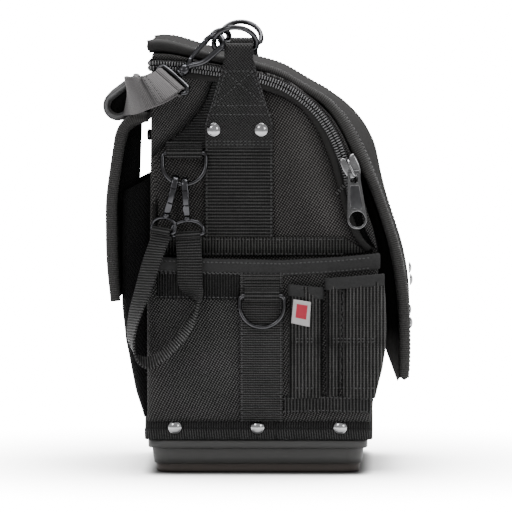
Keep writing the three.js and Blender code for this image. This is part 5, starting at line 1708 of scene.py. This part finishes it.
def on_slider(down, across, out):
    return SLIDER_CENTRE + SLIDER_DOWN * down + SLIDER_ACROSS * across + OUT * out


slider_rows = []
for out, scale in SLIDER_HEIGHTS:
    slider_rows.append([on_slider(down * scale, across * scale, out) for down, across in SLIDER_OUTLINE])
slider = skin("zip_slider_cast", slider_rows)
slider_metal = metal("slider_gunmetal", (0.055, 0.055, 0.056), 0.22, (0.125, 0.125, 0.127))
fix(slider, slider_metal, "gunmetal", "zip_slider")
bail_points = [on_slider(down, 0, out) for down, out in smooth(BAIL_LINE, 30)]
bail = wire("zip_bail_wire", bail_points, SLIDER_ACROSS, 1.05, 10, closed=False)
fix(bail, slider_metal, "gunmetal")
PULL_AXIS = (72.6, -104.0, 229.7)
PULL_THICK = 1.9
PULL_EDGE = 0.4
PULL_OUTLINE = [(-4.2, -6), (-4.2, 0.0), (-3.8, 0.9), (-2.8, 1.4), (4, 1.4), (5, 0.9), (5.4, 0.0), (5.8, -6)]
PULL_OUTLINE += arc(3.2, -35.8, 7.6, 0, -180, 28)
PULL_SLOT = [
    (-2.4, -1.2), (-2.4, -6.4), (-1.6, -7.7), (-0.4, -8.2), (1.8, -8.2), (3.0, -7.7), (3.7, -6.4),
    (3.7, -1.2),
]
PULL_HOLE = arc(3.2, -35.7, 5.9, 0, 360, 28)[:-1]


def cut_plate(name, outline, holes, place, thickness, edge):
    """A flat cast plate with holes through it, its edges bevelled."""
    shape = bpy.data.curves.new(name, "CURVE")
    shape.dimensions = "2D"
    shape.fill_mode = "BOTH"
    for loop in [outline] + holes:
        line = shape.splines.new("POLY")
        line.points.add(len(loop) - 1)
        line.use_cyclic_u = True
        for spot, (a, b) in zip(line.points, loop):
            spot.co = (a * MM, b * MM, 0, 1)
    shape.extrude = (thickness / 2 - edge) * MM
    shape.bevel_depth = edge * MM
    shape.bevel_resolution = 2
    shape.offset = -edge * MM
    drawn = placed(name, shape)
    mesh = baked(drawn)
    bpy.data.objects.remove(drawn)
    mended(mesh, WELD_REACH)
    mesh.transform(place)
    mesh.materials.clear()
    mesh.shade_smooth()
    mesh.set_sharp_from_angle(angle=math.radians(50))
    return placed(name, mesh)


def frame_at(right, up, origin):
    """A place whose X and Y run right and up, in metres from a point in millimetres."""
    right = Vector(right).normalized()
    up = Vector(up).normalized()
    place = Matrix.Identity(4)
    place.col[0][:3] = right
    place.col[1][:3] = up
    place.col[2][:3] = right.cross(up)
    place.translation = Vector(origin) * MM
    return place


pull_place = frame_at((1, 0, 0), (0, 0, 1), PULL_AXIS)
PULL_FIELD = [
    (-1.9, -11), (-1.4, -10.4), (3.9, -10.4), (4.4, -11), (6.9, -26.4), (6.2, -27.4), (-0.6, -27.4),
    (-1.5, -26.4),
]
PULL_HOLES = [PULL_SLOT, PULL_HOLE, PULL_FIELD]
pull = cut_plate("zip_pull_cast", PULL_OUTLINE, PULL_HOLES, pull_place, PULL_THICK, PULL_EDGE)
FIELD_OUTLINE = [(-2.6, -10), (5.2, -10), (8, -28), (-2.2, -28)]
pull_field = cut_plate("zip_pull_field", FIELD_OUTLINE, [], pull_place, 0.9, 0.1)
pull_metal = metal("pull_gunmetal", (0.030, 0.030, 0.031), 0.2, (0.080, 0.080, 0.081))
fix(pull, pull_metal, "gunmetal", "zip_pull", body="pull")
field_metal = metal("pull_field_gunmetal", (0.014, 0.014, 0.015), 0.35, (0.034, 0.034, 0.035))
fix(pull_field, field_metal, "gunmetal", body="pull")

# Carrying strap's snap hook: bent steel wire with a hinged gate, turning in a barrel on a
# flat wire eye that carries the webbing. The far hook is the same, in one plain piece.
HOOK_AXIS = np.array((0.73495, 0.19999, 0.64796))
HOOK_SIDE = np.array((0.61265, -0.60545, -0.50803))
HOOK_FLAT = np.array((0.29071, 0.77035, -0.5675))
HOOK_ROOT = np.array((-55.93, -108.91, 307.24))
BIGHT = 7.3
HOOK_SPINE = [(1, 0), (6, 0.8), (11, 4.6), (16, 6.9), (23, BIGHT), (29, BIGHT)]
HOOK_SPINE += arc(31, 0, BIGHT, 75, -90, 8) + [(29, -BIGHT)]
HOOK_STUB = [(1, 0), (6, -0.8), (9.6, -3.4)]
HOOK_GATE = [(11.4, -4.3), (16, -5.2), (22, -6.2), (27.8, -7.1)]
HOOK_BARREL = [
    (0, -5), (2.6, -5), (3.4, -4.7), (3.6, -3.8), (3.0, -3.4), (3.0, -2.8), (4.0, -2.4), (4.2, -1.4),
    (4.2, 1.6), (3.9, 2.6), (3.2, 4.0), (0, 4.4),
]
EYE_BAR = -14
EYE_HALF = 18
EYE_CORNER = 3
EYE_WIRE = 1.9
HOOK_WIRE = 2.3
GATE_WIRE = 1.8


def hook_at(along, side, sign=-1):
    spot = HOOK_ROOT + HOOK_AXIS * along + HOOK_SIDE * side
    return spot if sign < 0 else spot * np.array((1, -1, 1))


def merged(name, pieces):
    """Several meshes kept as one piece."""
    form = bmesh.new()
    for piece in pieces:
        form.from_mesh(piece.data)
        bpy.data.objects.remove(piece)
    mesh = bpy.data.meshes.new(name)
    form.to_mesh(mesh)
    form.free()
    mesh.shade_smooth()
    return placed(name, mesh)


hook_metal = metal("hook_gunmetal", (0.013, 0.013, 0.014), 0.22, (0.030, 0.030, 0.032))
eye_outline = arc(EYE_BAR + EYE_CORNER, EYE_HALF - EYE_CORNER, EYE_CORNER, 180, 90, 6)
eye_outline += [(-7.3 - 0.8 * (s / EYE_HALF) ** 2, s) for s in np.linspace(15, -15, 11)]
eye_outline += arc(EYE_BAR + EYE_CORNER, EYE_CORNER - EYE_HALF, EYE_CORNER, 270, 180, 6)
for side, sign in SIDES:
    mirror = np.array((1, -sign, 1))
    flat = HOOK_FLAT * mirror
    axis = HOOK_AXIS * mirror
    root = HOOK_ROOT * mirror
    spine_points = [hook_at(a, s, sign) for a, s in smooth(HOOK_SPINE, 60)]
    spine = wire("spine", spine_points, flat, HOOK_WIRE, 14, closed=False)
    stub_points = [hook_at(a, s, sign) for a, s in smooth(HOOK_STUB, 12)]
    stub = wire("stub", stub_points, flat, HOOK_WIRE, 14, closed=False)
    barrel = stand(lathe("barrel", HOOK_BARREL, 24), root, axis)
    gate_points = [hook_at(a, s, sign) for a, s in smooth(HOOK_GATE, 12)]
    gate = wire("gate", gate_points, flat, GATE_WIRE, 12, closed=False)
    eye = wire("eye", [hook_at(a, s, sign) for a, s in eye_outline], flat, EYE_WIRE, 12)
    if sign < 0:
        fix(merged("strap_hook_near_steel", [spine, stub, barrel]), hook_metal, "gunmetal", "strap_hook_near")
        gate.name = "strap_gate_near_steel"
        fix(gate, hook_metal, "gunmetal", "strap_gate_near", body="strap_gate")
        eye.name = "strap_eye_near_steel"
        fix(eye, gunmetal, "gunmetal", "strap_eye_near")
    else:
        far_hook = merged("strap_hook_far_steel", [spine, stub, barrel, gate, eye])
        fix(far_hook, hook_metal, "gunmetal", "strap_hook_far")

# Carrying strap: grey webbing from both eyes round the back, sewn back on itself at each
# end, and a padded grip folded round its middle.
STRAP_LEAVES = -0.94 * HOOK_AXIS - 0.34 * HOOK_FLAT
EYE_AT = hook_at(EYE_BAR, 0)
CARRY_ROWS = [
    (EYE_AT + STRAP_LEAVES * 3.1, HOOK_SIDE), (EYE_AT + STRAP_LEAVES * 13, (0.50, -0.60, -0.62)),
    ((-87.5, -115, 290), (0.36, -0.48, -0.8)), ((-95.8, -102, 288), (0.3, -0.2, -0.93)),
    ((-98.6, -86, 287.4), (0.1, 0, -1)), ((-99.6, -68, 286.2), (-0.16, 0, -0.98)),
    ((-99.6, -50, 285.2), (-0.3, 0, -0.95)), ((-99.6, -30, 285.2), (-0.3, 0, -0.95)),
]
FAR_DROPS = (0, 1, 4.5, 5, 3, 1, 0, 0)
CARRY_TONE = (0.0468, 0.0446, 0.0450)
CARRY_GAP = (0.0240, 0.0230, 0.0232)
CARRY_HALF = 15
CARRY_THICK = 2.2
TAIL_THICK = 1.8
SLEEVE_ROUND = 3.1
far_rows = []
for ((x, y, z), (a, b, c)), drop in zip(CARRY_ROWS, FAR_DROPS):
    far_rows.append(((x, -y, z - drop), (a, -b, c)))
CARRY_ROWS += reversed(far_rows)
carry = smooth([tuple(at) + tuple(np.array(across) * 40) for at, across in CARRY_ROWS], 150)
carry_cloth = ribbed("carry_web", CARRY_TONE, CARRY_GAP, 0.0012, "V", 0.0002, cloudy=0.2)
carry_band = webbing("carry_band", carry[:, :3], carry[:, 3:], CARRY_HALF, CARRY_THICK)


def sleeve(bar, away, across, radius, half, thickness, steps, mirror=1):
    """Webbing folded round a bar; away is the way in which the strap leaves it."""
    lift = np.cross(across, away)
    loop = []
    for turn in np.linspace(-150, 150, steps):
        angle = math.radians(turn)
        loop.append((bar - away * radius * math.cos(angle) + lift * radius * math.sin(angle)) * mirror)
    return webbing("sleeve", loop, across * mirror, half, thickness)


sleeves = []
for sign in (-1, 1):
    mirror = np.array((1, -sign, 1))
    sleeves.append(sleeve(EYE_AT, STRAP_LEAVES, HOOK_SIDE, SLEEVE_ROUND, CARRY_HALF, TAIL_THICK, 25, mirror))
CARRY_TAIL = 10
tail_rows = []
for at, way in ((carry[i, :3], carry[i, 3:]) for i in range(CARRY_TAIL)):
    tail_rows.append((at, way / np.linalg.norm(way)))
tail_ahead = np.gradient(np.array([at for at, way in tail_rows]), axis=0)
tail_out = np.cross([way for at, way in tail_rows], tail_ahead)
tail_out /= -np.linalg.norm(tail_out, axis=1)[:, None]
carry_sewing = []
for sign in (-1, 1):
    mirror = np.array((1, -sign, 1))
    tail_points = [(at + out * 2.2) * mirror for (at, way), out in zip(tail_rows, tail_out)]
    tail_ways = [way * mirror * -sign for at, way in tail_rows]
    sleeves.append(webbing("tail", tail_points, tail_ways, CARRY_HALF - 0.2, TAIL_THICK))
    for back in (2, 4):
        at, way = tail_rows[CARRY_TAIL - back]
        out = tail_out[CARRY_TAIL - back]
        seam = [(at + way * across + out * 3.15) * mirror for across in np.linspace(-13, 13, 14)]
        carry_sewing.append((seam, out * mirror))
carry_thread = Looks("carry_thread", (0.0180, 0.0176, 0.0176), 0.7).material
sewing("carry_strap_sewing", carry_sewing, "strap", look=carry_thread)
carry_strap = merged("strap_web_carry", [carry_band] + sleeves)
fix(carry_strap, carry_cloth, "strap", "strap_web")
GRIP_CENTRE = (-107.6, 278.8)
GRIP_SLOPE = (0.8, 0.6)
GRIP_HALF = 66
GRIP_OUTER = 12
GRIP_WALL = 7
GRIP_LINE = GRIP_OUTER - GRIP_WALL / 2
GRIP_LEG = 17
PIPING_OUT = 1.6
PIPING_ROUND = 1.1
grip_middle = [(GRIP_LEG, GRIP_LINE), (8, GRIP_LINE)] + arc(0, 0, GRIP_LINE, 90, 270, 14)
grip_middle += [(8, -GRIP_LINE), (GRIP_LEG, -GRIP_LINE)]


def on_grip(along, side):
    """The (x, z) place of a point of the grip's section, along its fold and to its side."""
    x = GRIP_CENTRE[0] + along * GRIP_SLOPE[0] - side * GRIP_SLOPE[1]
    z = GRIP_CENTRE[1] + along * GRIP_SLOPE[1] + side * GRIP_SLOPE[0]
    return x, z


grip_rows = [(*on_grip(along, side), GRIP_WALL - 0.6, 0) for along, side in grip_middle]
grip_pad = Pad(grip_rows[::-1], 60, GRIP_HALF, 0.5)
grip = puff(grip_pad.piece("strap_grip_padded"), 2.4, 2.0, 0.8)
grip_cloth = plain_cloth("grip_nylon", (0.0110, 0.0110, 0.0110), (0.0400, 0.0400, 0.0404))
fix(grip, grip_cloth, "padding", "strap_grip")
piping_look = plain_cloth("grip_piping_tape", (0.0200, 0.0200, 0.0200), (0.0560, 0.0560, 0.0565))
for side, sign in SIDES:
    piping_points = [(x, sign * (GRIP_HALF + PIPING_OUT), z) for x, z in smooth(grip_rows, 60)[:, :2]]
    piping = wire(f"strap_grip_piping_{side}", piping_points, (0, 1, 0), PIPING_ROUND, 8, closed=False)
    fix(piping, piping_look, "padding")
# The grip's core is near-black cloth, painted shade inside the grip's fold.
core_outline = arc(0, 0, GRIP_OUTER - GRIP_WALL + 0.4, 90, 270, 14)
core_outline += [(15, -5.2), (15.6, -3), (15.6, 3), (15, 5.2)]
core_rows = []
for y in np.linspace(-GRIP_HALF + 1.5, GRIP_HALF - 1.5, 12):
    core_rows.append([(x, y, z) for x, z in (on_grip(along, side) for along, side in core_outline)])
fix(skin("strap_grip_core", core_rows), shade_black_cloth, "padding")

# Lanyard: two cast snap hooks on the tab's ring, each with a spring gate and a turning eye,
# and a hanging loop of narrow ribbed webbing sewn back round both eyes.
LANYARD_HOOKS = [
    ("left", (-61.37, -105.98, 227.23), (-0.23932, -0.12963, -0.96225), (-0.03129, 0.99156, -0.1258), 42),
    ("right", (-55.43, -106.28, 225.87), (0.05998, -0.12996, -0.9897), (0.00786, 0.99152, -0.12972), 0),
]
CAST_BEND = 6.8
CAST_HOLLOW = 4.2
CAST_OUTLINE = [(-6.8, 10.6)] + arc(0, CAST_BEND, CAST_BEND, 180, 360, 28)
CAST_OUTLINE += [(6.8, 21), (6.2, 24), (3.4, 29), (2.6, 30), (-2.6, 30), (-3.4, 29), (-6.2, 24.5), (-6.8, 23)]
CAST_OUTLINE += [(-4.2, 23), (-3, 24.4), (-1.6, 25), (1.6, 25), (3.2, 24.2), (4.2, 22)]
CAST_OUTLINE += arc(0, CAST_BEND, CAST_HOLLOW, 360, 180, 24) + [(-4.2, 10.6)]
CAST_GATE = [
    (-6.6, 11.3), (-6.2, 11), (-4.8, 11), (-4.4, 11.3), (-4.4, 21.6), (-4.8, 22), (-6.2, 22), (-6.6, 21.6),
]
CAST_BARREL = [(0, 0), (2.5, 0), (2.9, 0.4), (2.9, 2.4), (2.4, 3.0), (2, 3.4), (0, 3.4)]
CAST_THICK = 5.4
EYE_TOP = 33.2
EYE_SHOULDER = 40
EYE_FOOT = 44
EYE_WIDE = 12
EYE_ROUND = 1.4
BARREL_AT = 30.3
LANYARD_HALF = 9.5
LANYARD_THICK = 1.6
LANYARD_SLEEVE = 2.3
lanyard_ends = {}
for name, top, axis, inward, turn in LANYARD_HOOKS:
    top = np.array(top)
    axis = np.array(axis)
    inward = np.array(inward)
    cast_side = np.cross(inward, axis)
    place = frame_at(inward, axis, top)
    hook = cut_plate(f"lanyard_hook_{name}_cast", CAST_OUTLINE, [], place, CAST_THICK, 1.2)
    fix(hook, hook_metal, "gunmetal", f"lanyard_hook_{name}")
    gate = cut_plate(f"lanyard_gate_{name}_cast", CAST_GATE, [], place, CAST_THICK - 1, 0.6)
    fix(gate, hook_metal, "gunmetal", f"lanyard_gate_{name}", body=f"{name}_gate")
    spin = math.radians(turn)
    across = -math.cos(spin) * cast_side - math.sin(spin) * inward
    outline = arc(EYE_WIDE - EYE_ROUND, EYE_FOOT - EYE_ROUND, EYE_ROUND, 90, 0, 4)
    for a, b in arc(0, 0, 1, 0, 180, 24):
        outline.append((a * EYE_WIDE, EYE_SHOULDER - b * (EYE_SHOULDER - EYE_TOP)))
    outline += arc(EYE_ROUND - EYE_WIDE, EYE_FOOT - EYE_ROUND, EYE_ROUND, 180, 90, 4)
    eye_points = [top + axis * b + across * a for a, b in outline]
    eye = wire("eye", eye_points, np.cross(axis, across), EYE_ROUND, 12)
    barrel = stand(lathe("barrel", CAST_BARREL, 20), top + axis * BARREL_AT, axis)
    fix(merged(f"lanyard_eye_{name}_steel", [eye, barrel]), hook_metal, "gunmetal", f"lanyard_eye_{name}")
    lanyard_ends[name] = (top + axis * EYE_FOOT, axis, across)
LANYARD_ROWS = [
    ((-51.3, -115, 160.7), (1, 0, 0)), ((-50.6, -116.2, 144), (0.97, -0.24, 0)),
    ((-45.4, -121, 130.5), (0.14, -0.98, 0)), ((-51, -121.6, 115), (0.27, -0.95, -0.12)),
    ((-59.4, -121.7, 103), (0.26, -0.95, -0.17)), ((-71.8, -121.8, 91), (0.22, -0.94, -0.26)),
    ((-83.2, -121.4, 85.6), (0.06, -0.92, -0.4)), ((-92, -120.6, 91), (0.05, -0.98, -0.15)),
    ((-95.6, -120, 105), (0.3, -0.95, 0)), ((-92.6, -119, 122), (0.5, -0.86, 0)),
    ((-86, -118, 141.7), (0.68, -0.73, 0)), ((-80, -116.8, 162), (0.74, -0.67, 0)),
]
right_end, right_axis, right_across = lanyard_ends["right"]
left_end, left_axis, left_across = lanyard_ends["left"]
lanyard_rows = [(right_end + right_axis * 2.4, right_across)] + LANYARD_ROWS
lanyard_rows += [(left_end + left_axis * 2.4, left_across)]
lanyard_line = smooth([tuple(at) + tuple(np.array(way) * 20) for at, way in lanyard_rows], 160)
lanyard_band = webbing("lanyard_band", lanyard_line[:, :3], lanyard_line[:, 3:], LANYARD_HALF, LANYARD_THICK)
lanyard_parts = [lanyard_band]
for end, axis, across in lanyard_ends.values():
    lanyard_parts.append(sleeve(end, axis, across, LANYARD_SLEEVE, LANYARD_HALF, 1.4, 21))


# Painted light: the band is painted paler round its lower turn, less so on its rear part, and darker along
# its legs.
def lanyard_painted_light(x, y, z):
    turn = math.exp(-((z - 106) / 20) ** 2) * (1 if x > -84 else 0.5)
    return 0.37 + 0.63 * turn


LANYARD_TONE = (0.0500, 0.0497, 0.0493)
LANYARD_GAP = (0.0010, 0.0010, 0.0010)
lanyard_cloth = ribbed("lanyard_web_cloth", LANYARD_TONE, LANYARD_GAP, 0.0021, relief=0.0009, shade=True)
lanyard = merged("lanyard_web_loop", lanyard_parts)
shaded(lanyard, lanyard_painted_light)
fix(lanyard, lanyard_cloth, "webbing", "lanyard_web")

# Stitch form: the bead that the stitches were copied from is removed.
bpy.data.objects.remove(thread_form)
